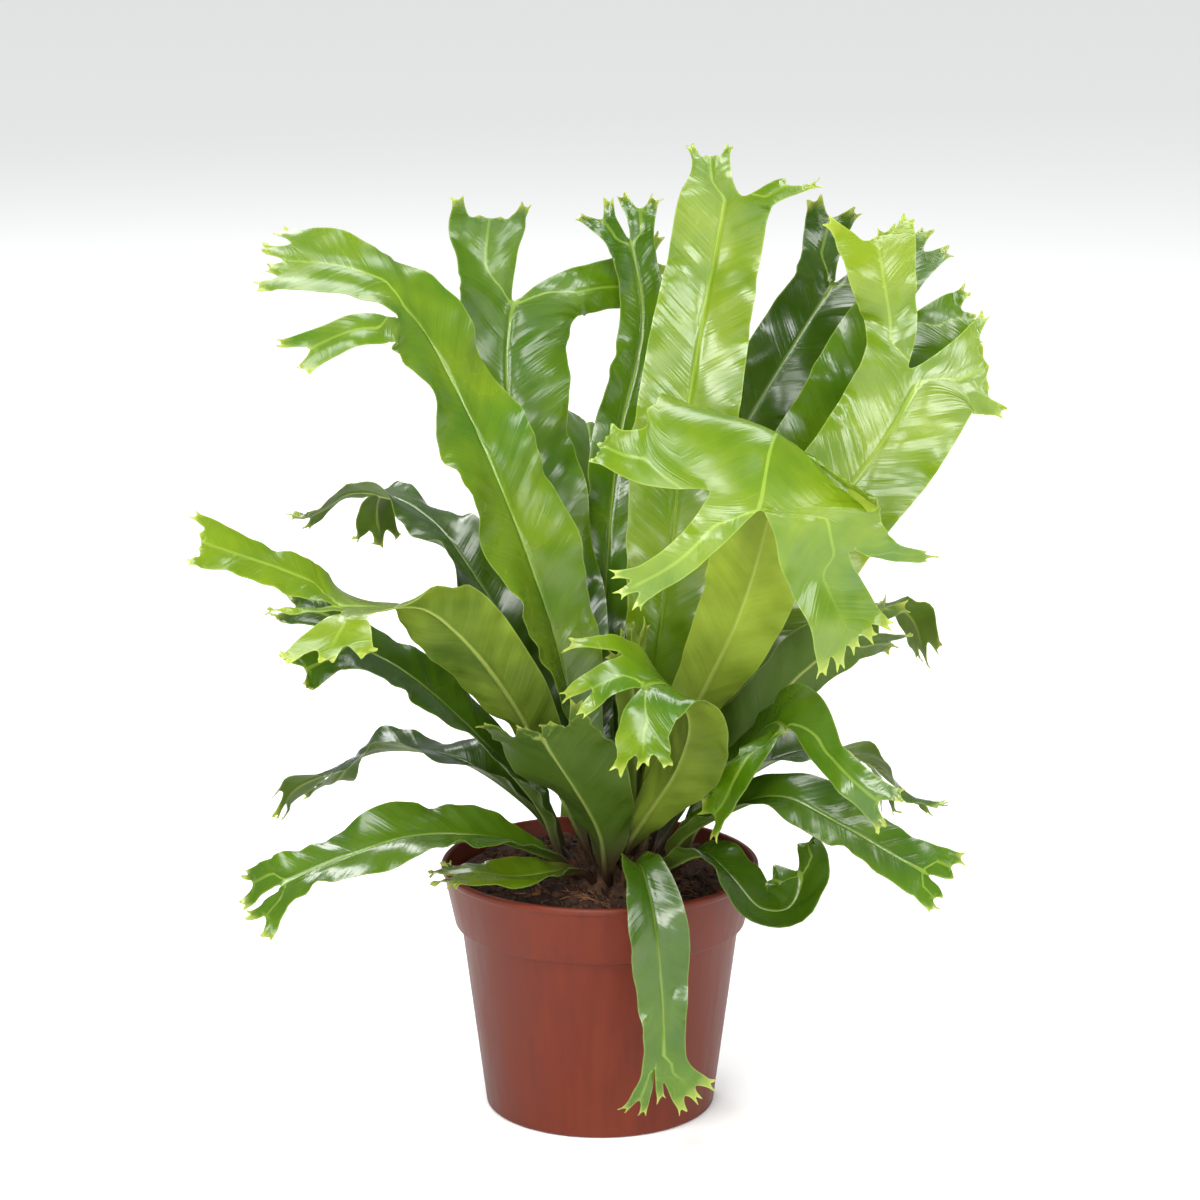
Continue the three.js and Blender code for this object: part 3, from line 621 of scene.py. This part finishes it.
def face_normals(places, faces):
    normals = np.zeros_like(places)
    quads = np.array([f if len(f) == 4 else (*f, f[2]) for f in faces])
    a, b, c, d = (places[quads[:, k]] for k in range(4))
    across = np.cross(c - a, d - b)
    for k in range(4):
        np.add.at(normals, quads[:, k], across)
    return unit(normals + 1e-12)


def relief_of(along, across, edge, draw):
    """How far the blade's relief stands off its sheet: a ruffled margin, the quilting between groups
    of side veins, and slow irregular swells. The two halves of the blade are out of step."""
    phase = [draw.uniform(0, 2 * math.pi) for _ in range(8)]
    half = np.where(across > 0, 1.0, 0.0)
    slanted = along - VEIN_LEAN * np.abs(across)

    def ripple(line, length, start):
        return np.sin(2 * math.pi * line / length + start)

    pace = 1 + 0.5 * ripple(along, PACE_WAVE, phase[0])
    ruffle = ripple(along, RUFFLE_WAVES[0], 2.5 * half + phase[1])
    ruffle += 0.6 * ripple(along, RUFFLE_WAVES[1], 1.7 * half + phase[2])
    quilt = ripple(slanted, QUILT_WAVES[0], 2 * half + phase[3])
    quilt += ripple(slanted, QUILT_WAVES[1], phase[4])
    swell = ripple(along, SWELL_WAVE, 2.2 * half + phase[5]) * np.sin(across / 7 + phase[6])
    off_rib = np.minimum(np.abs(across) / 5, 1)
    at_edge = np.exp(-((edge / 4) ** 2))
    ripples = RUFFLE * at_edge * ruffle + QUILTING * off_rib * quilt
    return pace * ripples + SWELL * off_rib * swell


def linked(name, data):
    """An object made from its data and put in the scene."""
    thing = bpy.data.objects.new(name, data)
    bpy.context.scene.collection.objects.link(thing)
    return thing


def make_frond(frond, number):
    """A frond's blade: its flat points bent and raised, in a shell of two faces and a margin."""
    draw = random.Random(SEED + number)
    rib = midrib_of(frond)
    flat, fork = flat_blade(frond, rib, draw)
    faces = [tuple(int(k) for k in face) for face in flat.faces]
    rim = rim_edges(faces)
    points = relax(flat, faces, rim, fork)
    s, v, lift, along, across, crest = points.T

    edge_tree = kdtree.KDTree(len(rim))
    for k, (a, _) in enumerate(rim):
        edge_tree.insert((s[a], v[a], 0), k)
    edge_tree.balance()
    edge = np.array([edge_tree.find((x, y, 0))[2] for x, y in zip(s, v)])

    places = bend(frond, rib, s, v, lift)
    normals = face_normals(places, faces)
    slim = smooth(s, 0.6 * STALK_LENGTH, 4 * STALK_LENGTH)
    places = places + normals * (relief_of(along, across, edge, draw) * slim)[:, None]

    normals = face_normals(places, faces)
    rounded = np.sqrt(np.clip(1 - 0.92 * (np.abs(v) / (STALK_WIDTH / 2)) ** 2, 0.08, 1))
    margin = 0.5 + 0.5 * np.sqrt(np.clip(edge / 0.9, 0, 1))
    thick = lerp(STALK_THICKNESS * rounded, BLADE_THICKNESS * margin, slim) / 2
    fading = slim * (1 - smooth(crest, 0.35, 0.8))
    keel = KEEL * np.exp(-(across / 0.75) ** 2) * fading
    shoulders = 0.3 * np.exp(-((np.abs(across) - 1.0) / 0.5) ** 2)
    groove = (shoulders - 0.25 * np.exp(-(across / 0.4) ** 2)) * fading
    above = places + normals * (thick + groove)[:, None]
    below = places - normals * (thick + keel)[:, None]
    box_corners = np.array([tuple(corner) for corner in cad_box])
    shell_places = np.clip(np.vstack([above, below]) * MM, *box_corners)

    count = len(places)
    shell = list(faces)
    shell += [tuple(k + count for k in reversed(face)) for face in faces]
    shell += [(b, a, a + count, b + count) for a, b in rim]
    mesh = bpy.data.meshes.new("frond_" + frond.name)
    mesh.from_pydata(shell_places, [], shell)
    leaf = np.column_stack([along * MM, across * MM, edge * MM])
    youth = draw.uniform(0, 1) if frond.youth is None else frond.youth
    upper = np.column_stack([crest, np.ones(count), np.full(count, youth)])
    under = np.column_stack([crest, np.zeros(count), np.full(count, frond.pallor)])
    for name, values in (("leaf", (leaf, leaf)), ("state", (upper, under))):
        layer = mesh.attributes.new(name, "FLOAT_VECTOR", "POINT")
        layer.data.foreach_set("vector", np.vstack(values).ravel())
    finish_piece(linked("blade_" + frond.name, mesh), frond_green[frond.tone],
                 "frond_" + frond.name, sharp=55)


# Materials

def linear(hex_colour):
    """An sRGB hex colour as linear red, green, blue and alpha."""
    parts = [int(hex_colour[k:k + 2], 16) / 255 for k in (1, 3, 5)]
    return (*[c / 12.92 if c <= 0.04045 else ((c + 0.055) / 1.055) ** 2.4 for c in parts], 1)


def add(material, kind, inputs=None, **settings):
    """Adds a node with its settings, and gives its inputs a value or a link. A node given as an
    input stands for its first output."""
    node = material.node_tree.nodes.new(kind)
    for name, value in settings.items():
        setattr(node, name, value)
    for name, value in (inputs or {}).items():
        if isinstance(value, bpy.types.Node):
            value = value.outputs[0]
        if isinstance(value, bpy.types.NodeSocket):
            material.node_tree.links.new(value, node.inputs[name])
        else:
            node.inputs[name].default_value = value
    return node


def new_material(name):
    material = bpy.data.materials.new(name)
    material.use_nodes = True
    material.node_tree.nodes.clear()
    return material


def fern_frond(name, young, old, below, pale):
    """A living frond under a waxy cuticle: side veins that slant from a midrib, thin pale margins and
    a yellowish crest. The cuticle gives broad white highlights, streaked by the veins. The underside
    is paler, with a satin sheen."""
    m = new_material(name)
    leaf = add(m, "ShaderNodeAttribute", attribute_name="leaf")
    split = add(m, "ShaderNodeSeparateXYZ", {0: leaf.outputs["Vector"]})
    along, across, edge = split.outputs
    state = add(m, "ShaderNodeAttribute", attribute_name="state")
    parts = add(m, "ShaderNodeSeparateXYZ", {0: state.outputs["Vector"]})
    # The last value is the upper face's youth, and on the underside its pallor, which is partly
    # painted light and shade
    crest, upper, youth = parts.outputs
    place = add(m, "ShaderNodeTexCoord").outputs["Object"]

    # Side veins: streaks some 1.4 mm apart and 2 cm long, which slant from both sides of the midrib,
    # and folds some 7 mm apart
    aside = add(m, "ShaderNodeMath", {0: across}, operation="ABSOLUTE")
    slanted = add(m, "ShaderNodeMath", {0: aside, 1: -VEIN_LEAN, 2: along}, operation="MULTIPLY_ADD")
    stretched = add(m, "ShaderNodeMath", {0: aside, 1: 0.07}, operation="MULTIPLY")
    half = add(m, "ShaderNodeMath", {0: across, 1: 0}, operation="GREATER_THAN")
    own = add(m, "ShaderNodeMath", {0: half, 1: youth}, operation="ADD")
    sheet = add(m, "ShaderNodeCombineXYZ", {0: slanted, 1: stretched, 2: own})
    veins = add(m, "ShaderNodeTexNoise", {"Vector": sheet, "Scale": 720, "Detail": 1})
    folds = add(m, "ShaderNodeTexNoise", {"Vector": sheet, "Scale": 150, "Detail": 1})

    # Midrib 1 mm wide, margin 0.5 mm wide
    rib = add(m, "ShaderNodeMapRange", {0: aside, 1: 0.0003, 2: 0.0008, 3: 1, 4: 0},
              interpolation_type="SMOOTHSTEP")
    outside = add(m, "ShaderNodeMapRange", {0: edge, 1: 0.0001, 2: 0.0006, 3: 0.2, 4: 0},
                  interpolation_type="SMOOTHSTEP")
    faded = add(m, "ShaderNodeMapRange", {0: crest, 1: 0.1, 2: 0.6, 3: 1, 4: 0})
    rib_here = add(m, "ShaderNodeMath", {0: rib, 1: faded}, operation="MULTIPLY")

    # Green: patches of younger and older tissue some 3 cm wide, streaked by the veins
    patch = add(m, "ShaderNodeTexNoise",
                {"Vector": place, "Scale": 26, "Detail": 3, "Roughness": 0.55})
    spread = add(m, "ShaderNodeMapRange", {0: patch, 1: 0.36, 2: 0.64, 3: 0, 4: 1})
    shift = add(m, "ShaderNodeMath", {0: youth, 1: 0.8, 2: spread}, operation="MULTIPLY_ADD")
    streaked = add(m, "ShaderNodeMath", {0: veins, 1: 0.3, 2: shift}, operation="MULTIPLY_ADD")
    share = add(m, "ShaderNodeMapRange", {0: streaked, 1: 0.15, 2: 1.95, 3: 0, 4: 1})
    faces = []
    sides = (below, pale, 0.45, "#a9b45c"), (old, young, 0.3, "#a3bd4c")
    for dark, light, shown, rib_tone in sides:
        tissue = add(m, "ShaderNodeMix", {0: share, 6: linear(dark), 7: linear(light)},
                     data_type="RGBA")
        strength = add(m, "ShaderNodeMath", {0: rib_here, 1: shown}, operation="MULTIPLY")
        faces.append(add(m, "ShaderNodeMix", {0: strength, 6: tissue.outputs[2], 7: linear(rib_tone)},
                         data_type="RGBA"))
    under, above = faces
    colour = add(m, "ShaderNodeMix", {0: upper, 6: under.outputs[2], 7: above.outputs[2]},
                 data_type="RGBA")

    # Over it a yellowish crest, the pale margin, painted shade on the blade's foot, where the fronds
    # shade one another, over somewhat older tissue, and a stalk that is brown-black for its first
    # centimetre
    tipped = add(m, "ShaderNodeMapRange", {0: crest, 1: 0.6, 2: 1, 3: 0, 4: 0.6})
    # Painted shade: the foot's dark green stands for the shade between the crowded fronds
    shaded_foot = add(m, "ShaderNodeMapRange", {0: along, 1: 0.02, 2: 0.16, 3: 0.65, 4: 0},
               interpolation_type="SMOOTHSTEP")
    stalk = add(m, "ShaderNodeMapRange", {0: along, 1: 0.010, 2: 0.032, 3: 1, 4: 0},
                interpolation_type="SMOOTHSTEP")
    layers = (tipped, "#a9b04a"), (outside, "#b2c05c"), (shaded_foot, "#1c2f04"), (stalk, "#2b1d12")
    for cover, tone in layers:
        colour = add(m, "ShaderNodeMix", {0: cover, 6: colour.outputs[2], 7: linear(tone)},
                     data_type="RGBA")

    # Wax: glossy above and satin below, over veins up to 0.14 mm high and folds up to 0.2 mm
    waxed = add(m, "ShaderNodeMapRange", {0: upper, 1: 0, 2: 1, 3: 0.45, 4: 0.2})
    worn = add(m, "ShaderNodeMath", {0: patch, 1: 0.12, 2: waxed}, operation="MULTIPLY_ADD")
    sheen = add(m, "ShaderNodeMapRange", {0: upper, 1: 0, 2: 1, 3: 0.15, 4: 0.5})
    lines = add(m, "ShaderNodeMath", {0: veins, 1: 0.00014}, operation="MULTIPLY")
    relief = add(m, "ShaderNodeMath", {0: folds, 1: 0.0002, 2: lines}, operation="MULTIPLY_ADD")
    bump = add(m, "ShaderNodeBump", {"Height": relief, "Strength": 1, "Distance": 1})
    shader = add(m, "ShaderNodeBsdfPrincipled", {
        "Base Color": colour.outputs[2],
        "Roughness": worn,
        "Normal": bump,
        "IOR": 1.5,
        "Specular IOR Level": sheen,
        "Subsurface Weight": 0.25,
        "Subsurface Radius": (0.5, 1.0, 0.15),
        "Subsurface Scale": 0.001,
    })
    add(m, "ShaderNodeOutputMaterial", {"Surface": shader})
    return m


def moulded_polypropylene():
    """Terracotta-coloured polypropylene, injection moulded: a satin skin with a faint orange peel,
    streaks down it where it was pulled off its mould, and specks of dried peat under the rim."""
    m = new_material("moulded polypropylene, terracotta")
    place = add(m, "ShaderNodeTexCoord").outputs["Object"]

    # Streaks some 4 mm wide and 9 cm long, specks some 4 mm apart, and an orange peel of 1 mm, which
    # is coarser than the real one so that it shows
    streaks = add(m, "ShaderNodeMapping", {"Vector": place, "Scale": (240, 240, 11)})
    flow = add(m, "ShaderNodeTexNoise", {"Vector": streaks, "Scale": 1, "Detail": 4})
    base = add(m, "ShaderNodeMix", {0: flow, 6: linear("#4a1404"), 7: linear("#62240d")},
               data_type="RGBA")
    dust = add(m, "ShaderNodeTexNoise",
               {"Vector": place, "Scale": 230, "Detail": 5, "Roughness": 0.7})
    specks = add(m, "ShaderNodeMapRange", {0: dust, 1: 0.62, 2: 0.7, 3: 0, 4: 0.75})
    height = add(m, "ShaderNodeSeparateXYZ", {0: place})
    high = add(m, "ShaderNodeMapRange", {0: height.outputs[2], 1: 0.070, 2: 0.095, 3: 0.15, 4: 0.8})
    dirt = add(m, "ShaderNodeMath", {0: specks, 1: high}, operation="MULTIPLY")
    colour = add(m, "ShaderNodeMix", {0: dirt, 6: base.outputs[2], 7: linear("#3a2116")},
                 data_type="RGBA")
    rough = add(m, "ShaderNodeMapRange", {0: flow, 1: 0.3, 2: 0.7, 3: 0.42, 4: 0.55})
    peel = add(m, "ShaderNodeTexNoise", {"Vector": place, "Scale": 900, "Detail": 2})
    bump = add(m, "ShaderNodeBump", {"Height": peel, "Strength": 0.12, "Distance": 0.0002})
    shader = add(m, "ShaderNodeBsdfPrincipled", {
        "Base Color": colour.outputs[2],
        "Roughness": rough,
        "Normal": bump,
        "IOR": 1.49,
        "Specular IOR Level": 0.25,
        "Subsurface Weight": 0.04,
        "Subsurface Radius": (1.0, 0.4, 0.25),
        "Subsurface Scale": 0.001,
    })
    add(m, "ShaderNodeOutputMaterial", {"Surface": shader})
    return m


def loose(name, dark, light, scale):
    """Peat, coir or bark: matt and crumbly, darker where it is damp, in patches of 4 to 8 mm and
    with a grit of 1 mm."""
    m = new_material(name)
    place = add(m, "ShaderNodeTexCoord").outputs["Object"]
    damp = add(m, "ShaderNodeTexNoise",
               {"Vector": place, "Scale": scale, "Detail": 6, "Roughness": 0.65})
    share = add(m, "ShaderNodeMapRange", {0: damp, 1: 0.35, 2: 0.68, 3: 0, 4: 1})
    colour = add(m, "ShaderNodeMix", {0: share, 6: linear(dark), 7: linear(light)},
                 data_type="RGBA")
    grit = add(m, "ShaderNodeTexNoise", {"Vector": place, "Scale": 1100, "Detail": 3})
    bump = add(m, "ShaderNodeBump", {"Height": grit, "Strength": 0.7, "Distance": 0.0006})
    shader = add(m, "ShaderNodeBsdfPrincipled", {
        "Base Color": colour.outputs[2],
        "Roughness": 0.9,
        "Normal": bump,
        "Specular IOR Level": 0.3,
    })
    add(m, "ShaderNodeOutputMaterial", {"Surface": shader})
    return m


def studio_floor():
    """Plain matt board."""
    m = new_material("matt white board")
    shader = add(m, "ShaderNodeBsdfPrincipled", {"Base Color": linear("#f7f7f6"), "Roughness": 0.9})
    add(m, "ShaderNodeOutputMaterial", {"Surface": shader})
    return m


# Modelling

def deselect():
    for obj in bpy.context.selected_objects:
        obj.select_set(False)


def finish_piece(piece, material, node=None, sharp=30):
    """Smooths a piece between its sharp edges, and gives it its finish and its place in the plant."""
    deselect()
    bpy.context.view_layer.objects.active = piece
    piece.select_set(True)
    bpy.ops.object.shade_smooth_by_angle(angle=math.radians(sharp))
    piece.select_set(False)
    piece.data.materials.clear()
    piece.data.materials.append(material)
    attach(piece, "root")
    if node:
        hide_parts(node)


def turned(name, profile, sides):
    """A round piece: a disc at the profile's first point, extruded and scaled from point to point."""
    deselect()
    radius, height = profile[0]
    bpy.ops.mesh.primitive_circle_add(vertices=sides, radius=radius * MM, fill_type="NGON",
                                      location=(0, 0, height * MM))
    piece = bpy.context.object
    piece.name = name
    bpy.ops.object.transform_apply(location=True, rotation=False, scale=False)
    bpy.ops.object.mode_set(mode="EDIT")
    bpy.ops.mesh.select_all(action="SELECT")
    for next_radius, next_height in profile[1:]:
        rise = (next_height - height) * MM
        bpy.ops.mesh.extrude_region_move(TRANSFORM_OT_translate={"value": (0, 0, rise)})
        scale = next_radius / radius
        bpy.ops.transform.resize(value=(scale, scale, 1))
        radius, height = next_radius, next_height
    bpy.ops.mesh.select_all(action="SELECT")
    bpy.ops.mesh.normals_make_consistent(inside=False)
    bpy.ops.object.mode_set(mode="OBJECT")
    return piece


def apply(piece, kind, **settings):
    """Adds a modifier to a piece and applies it."""
    modifier = piece.modifiers.new(kind.title(), kind)
    for name, value in settings.items():
        setattr(modifier, name, value)
    bpy.context.view_layer.objects.active = piece
    bpy.ops.object.modifier_apply(modifier=modifier.name)


def make_pot():
    inner_pad = PAD_RADIUS + GROOVE_SLOPE
    profile = [
        (PAD_RADIUS, 0),
        (inner_pad, GROOVE_DEPTH),
        (GROOVE_OUTER, GROOVE_DEPTH),
        (GROOVE_OUTER + GROOVE_SLOPE, 0),
        (FOOT_RADIUS - 0.8, 0),
        (FOOT_RADIUS, 0.8),
        (NECK_RADIUS, LEDGE_HEIGHT),
        (LEDGE_RADIUS, LEDGE_HEIGHT),
        (POT_RADIUS - 0.9, POT_HEIGHT - 3.2),
        (POT_RADIUS, POT_HEIGHT - 2.4),
        (POT_RADIUS, POT_HEIGHT - 0.7),
        (POT_RADIUS - 0.7, POT_HEIGHT),
        (POT_RADIUS - 1.6, POT_HEIGHT),
        (POT_RADIUS - 2.2, POT_HEIGHT - 0.8),
        (LEDGE_RADIUS - WALL, LEDGE_HEIGHT + WALL),
        (NECK_RADIUS - WALL, LEDGE_HEIGHT + WALL),
        (FOOT_RADIUS - WALL, WALL + 1),
        (GROOVE_OUTER + GROOVE_SLOPE + 0.6, WALL),
        (GROOVE_OUTER + 0.4, GROOVE_DEPTH + WALL),
        (inner_pad - 0.4, GROOVE_DEPTH + WALL),
        (PAD_RADIUS - 0.6, WALL),
    ]
    pot = turned("nursery_pot", profile, POT_SIDES)
    apply(pot, "BEVEL", width=POT_ROUNDING * MM, segments=3, limit_method="ANGLE",
          angle_limit=math.radians(22))
    for k in range(DRAIN_COUNT):
        angle = (k + 0.5) / DRAIN_COUNT * 2 * math.pi
        at = Vector((DRAIN_CIRCLE * math.cos(angle), DRAIN_CIRCLE * math.sin(angle), GROOVE_DEPTH))
        deselect()
        bpy.ops.mesh.primitive_cylinder_add(vertices=28, radius=DRAIN_RADIUS * MM, depth=12 * MM,
                                            location=at * MM)
        drill = bpy.context.object
        apply(pot, "BOOLEAN", object=drill, operation="DIFFERENCE", solver="EXACT")
        bpy.data.objects.remove(drill)
    finish_piece(pot, polypropylene, "pot", sharp=35)


def soil_height(x, y):
    """The compost's surface, in millimetres: a low mound, lumps some 8 mm wide and finer crumbs."""
    inner = LEDGE_RADIUS - WALL - SEAM
    r = math.hypot(x, y)
    inside = float(smooth(inner - r, 0, 9))
    lumps = noise.noise((x / 8, y / 8, 3.1)) + 0.5 * noise.noise((x / 3.2, y / 3.2, 7.7))
    return SOIL_EDGE + SOIL_MOUND * (1 - (r / inner) ** 2) + 1.1 * inside * lumps


def make_soil():
    bottom = GROOVE_DEPTH + WALL + SEAM
    neck = NECK_RADIUS - WALL - SEAM
    inner = LEDGE_RADIUS - WALL - SEAM
    rings = [(inner + 0.9 - k * 1.35, SOIL_EDGE) for k in range(1, 40)]
    profile = [
        (FOOT_RADIUS - WALL - SEAM, bottom),
        (neck, LEDGE_HEIGHT + WALL),
        (neck, LEDGE_HEIGHT + WALL + SEAM),
        (inner, LEDGE_HEIGHT + WALL + SEAM),
        (inner + 0.9, SOIL_EDGE),
        *rings,
    ]
    soil = turned("compost", profile, SOIL_SIDES)
    for vertex in soil.data.vertices:
        x, y, z = vertex.co / MM
        if z > SOIL_EDGE - 1:
            vertex.co.z = soil_height(x, y) * MM
    finish_piece(soil, peat, "soil", sharp=60)


def many(name, model, places, material):
    """One piece from many copies of a small model: vertices and faces, set down by a matrix each."""
    vertices, faces = model
    points = []
    polygons = []
    for matrix in places:
        first = len(points)
        points += [matrix @ Vector(v) for v in vertices]
        polygons += [tuple(first + k for k in face) for face in faces]
    mesh = bpy.data.meshes.new(name)
    mesh.from_pydata(points, [], polygons)
    finish_piece(linked(name, mesh), material, sharp=50)


def crown_height(x, y):
    """The top of the crown's dome, in millimetres, without its low knobs."""
    r = math.hypot(x - CROWN_CENTRE[0], y - CROWN_CENTRE[1]) / CROWN_RADIUS
    return CROWN_BASE + (CROWN_TOP - CROWN_BASE) * math.sqrt(max(0, 1 - r * r))


def make_crown():
    deselect()
    x, y = CROWN_CENTRE
    bpy.ops.mesh.primitive_uv_sphere_add(segments=64, ring_count=32, radius=1, location=(0, 0, 0))
    crown = bpy.context.object
    crown.name = "rhizome"
    for vertex in crown.data.vertices:
        a, b, c = vertex.co
        knob = 1 + 0.05 * noise.noise((a * 4, b * 4, c * 4 + 9))
        reach = (CROWN_RADIUS - 1.2) * knob
        rise = (CROWN_TOP - CROWN_BASE - 1.2) * knob if c > 0 else 3
        vertex.co = ((x + a * reach) * MM, (y + b * reach) * MM, (CROWN_BASE + c * rise) * MM)
    finish_piece(crown, rhizome, "crown", sharp=60)


def turn_to(place, direction, roll, scale):
    """A matrix that sets a small model down at a place, its own +Z along the direction."""
    turn = Vector(direction).to_track_quat("Z", "Y").to_matrix().to_4x4()
    size = Matrix.Diagonal((*[s * MM for s in scale], 1))
    return Matrix.Translation(Vector(place) * MM) @ turn @ Matrix.Rotation(roll, 4, "Z") @ size


def spot(draw, radius, least=0):
    """A random place in a circle: its angle, how far out it is, and its x and y."""
    angle = draw.uniform(0, 2 * math.pi)
    r = radius * math.sqrt(draw.uniform(least, 1))
    return angle, r, r * math.cos(angle), r * math.sin(angle)


def make_scales():
    """Papery brown scales lie like shingles on the crown, among the stalks' feet."""
    blade = [(0, -0.5, 0), (0, 0.5, 0), (0.12, -0.42, 0.5), (0.12, 0.42, 0.5), (0, 0, 1)]
    back = [(x - 0.06, y, z) for x, y, z in blade]
    vertices = blade + back
    faces = [(0, 1, 3, 2), (2, 3, 4), (6, 5, 7, 8), (8, 7, 9)]
    outline = [0, 2, 4, 3, 1]
    for a, b in zip(outline, outline[1:] + outline[:1]):
        faces.append((b, a, a + 5, b + 5))
    draw = random.Random(SEED)
    places = []
    for _ in range(SCALES):
        angle, _, x, y = spot(draw, SCALE_CIRCLE, 0.02)
        x += CROWN_CENTRE[0]
        y += CROWN_CENTRE[1]
        up = (math.cos(angle) * 0.5, math.sin(angle) * 0.5, draw.uniform(0.5, 1.4))
        z = crown_height(x, y) - 1.5
        places.append(turn_to((x, y, z), up, draw.uniform(-0.6, 0.6) + angle,
                              (1.5, draw.uniform(1.6, 2.8), draw.uniform(4, 8))))
    many("crown_scales", (vertices, faces), places, rhizome)


def make_crumbs():
    """Loose crumbs of peat and bark on the compost."""
    deselect()
    bpy.ops.mesh.primitive_ico_sphere_add(subdivisions=2, radius=1, location=(0, 0, 0))
    ball = bpy.context.object
    draw = random.Random(SEED + 1)
    for vertex in ball.data.vertices:
        vertex.co *= 1 + 0.3 * noise.noise(Vector(vertex.co) * 2.1)
    vertices = [tuple(v.co) for v in ball.data.vertices]
    faces = [tuple(p.vertices) for p in ball.data.polygons]
    bpy.data.objects.remove(ball)
    places = []
    for _ in range(CRUMBS):
        _, r, x, y = spot(draw, CRUMB_CIRCLE)
        size = draw.uniform(0.5, 1.0) * draw.uniform(0.8, 2.2)
        size = min(size, max(0.5, (CRUMB_EDGE - r) * 0.8))
        direction = (draw.uniform(-1, 1), draw.uniform(-1, 1), draw.uniform(-1, 1))
        places.append(turn_to((x, y, soil_height(x, y) + 0.2 * size), direction, draw.uniform(0, 6),
                              (size, size * draw.uniform(0.5, 1), size * draw.uniform(0.8, 1.7))))
    many("peat_crumbs", (vertices, faces), places, bark)


def make_fibres():
    """Coir fibres lie across the compost, bent at random."""
    draw = random.Random(SEED + 2)
    vertices = []
    faces = []
    sides = FIBRE_SIDES
    for _ in range(FIBRES):
        _, _, x, y = spot(draw, FIBRE_CIRCLE)
        heading = draw.uniform(0, 2 * math.pi)
        bending = draw.uniform(-0.25, 0.25)
        rise = draw.uniform(0, 1.2)
        thick = draw.uniform(0.12, 0.3)
        count = draw.randint(6, 10)
        line = []
        for k in range(count):
            arch = rise * math.sin(math.pi * k / (count - 1))
            line.append((x, y, soil_height(x, y) + 0.3 + arch))
            heading += bending + draw.uniform(-0.2, 0.2)
            x += FIBRE_STEP * math.cos(heading)
            y += FIBRE_STEP * math.sin(heading)
        if max(math.hypot(px, py) for px, py, _ in line) > FIBRE_EDGE:
            continue
        first = len(vertices)
        for k, here in enumerate(line):
            ahead = Vector(line[min(count - 1, k + 1)]) - Vector(line[max(0, k - 1)])
            ahead.normalize()
            side = ahead.cross(Vector((0, 0, 1))).normalized()
            up = side.cross(ahead)
            for j in range(sides):
                turn = 2 * math.pi * j / sides
                off = (side * math.cos(turn) + up * math.sin(turn)) * thick
                vertices.append(tuple((Vector(here) + off) * MM))
        for k in range(count - 1):
            for j in range(sides):
                a, b = first + k * sides + j, first + k * sides + (j + 1) % sides
                faces.append((a, b, b + sides, a + sides))
        faces.append(tuple(first + j for j in reversed(range(sides))))
        faces.append(tuple(first + (count - 1) * sides + j for j in range(sides)))
    mesh = bpy.data.meshes.new("coir_fibres")
    mesh.from_pydata(vertices, [], faces)
    finish_piece(linked("coir_fibres", mesh), coir, sharp=60)


polypropylene = moulded_polypropylene()
peat = loose("moist peat", "#170d08", "#3d2517", 160)
bark = loose("bark and peat crumbs", "#150c08", "#4a2f1f", 120)
coir = loose("coir fibre", "#3c2415", "#7d5334", 200)
rhizome = loose("papery rhizome scales", "#1e130c", "#4a3018", 240)
frond_green = {
    "light": fern_frond("young fern frond", "#6f830e", "#395f05", "#3a4f0a", "#8fa332"),
    "mid": fern_frond("grown fern frond", "#527004", "#2b4d03", "#3c530c", "#5f761c"),
    "dark": fern_frond("old fern frond", "#3a5604", "#1f3a02", "#33490a", "#4c6216"),
}

make_pot()
make_soil()
make_crown()
make_scales()
make_crumbs()
make_fibres()
for number, frond in enumerate(FRONDS):
    make_frond(frond, number)

# Floor, light and camera, in metres and degrees

LIGHT_AIM = (0, 0, 0.22)
CAMERA_DIP = 13.5

deselect()
bpy.ops.mesh.primitive_circle_add(vertices=96, radius=14, fill_type="NGON", location=(0, 0, -0.0002))
floor = bpy.context.object
floor.name = "white_board"
floor.data.materials.append(studio_floor())

world = bpy.data.worlds.new("pale room")
bpy.context.scene.world = world
world.use_nodes = True
background = world.node_tree.nodes["Background"]
background.inputs["Color"].default_value = linear("#eef1f4")
background.inputs["Strength"].default_value = 0.38


def softbox(name, place, size, watts, colour):
    """A soft rectangular light that looks at the middle of the plant."""
    light = bpy.data.lights.new(name, "AREA")
    light.shape = "RECTANGLE"
    light.size, light.size_y = size
    light.energy = watts
    light.color = linear(colour)[:3]
    lamp = linked(name, light)
    lamp.location = place
    lamp.rotation_euler = (Vector(LIGHT_AIM) - Vector(place)).to_track_quat("-Z", "Y").to_euler()


sun = bpy.data.lights.new("ceiling", "SUN")
sun.energy = 1.9
sun.angle = math.radians(30)
ceiling = linked("ceiling", sun)
ceiling.rotation_euler = (math.radians(34), 0, math.radians(-32))

softbox("key", (-0.5, -1.7, 0.7), (0.6, 0.6), 23, "#fffdfa")
softbox("fill", (0.45, -1.65, 0.6), (0.5, 0.6), 15, "#fbfcff")
softbox("side", (1.45, -0.95, 0.7), (0.5, 0.7), 12, "#ffffff")
softbox("front", (-0.1, -1.2, 1.5), (0.6, 0.5), 8, "#ffffff")
softbox("top", (0.1, 0.5, 1.4), (0.8, 0.6), 12, "#ffffff")
softbox("rear", (-0.6, 1.5, 1.7), (0.7, 0.7), 18, "#ffffff")

camera = bpy.data.cameras.new("camera")
camera.sensor_width = 36
camera.lens = 114
viewer = linked("camera", camera)
viewer.location = (0, -1.374, 0.526)
viewer.rotation_euler = (math.radians(90 - CAMERA_DIP), 0, 0)
bpy.context.scene.camera = viewer
bpy.context.scene.view_settings.view_transform = "Standard"
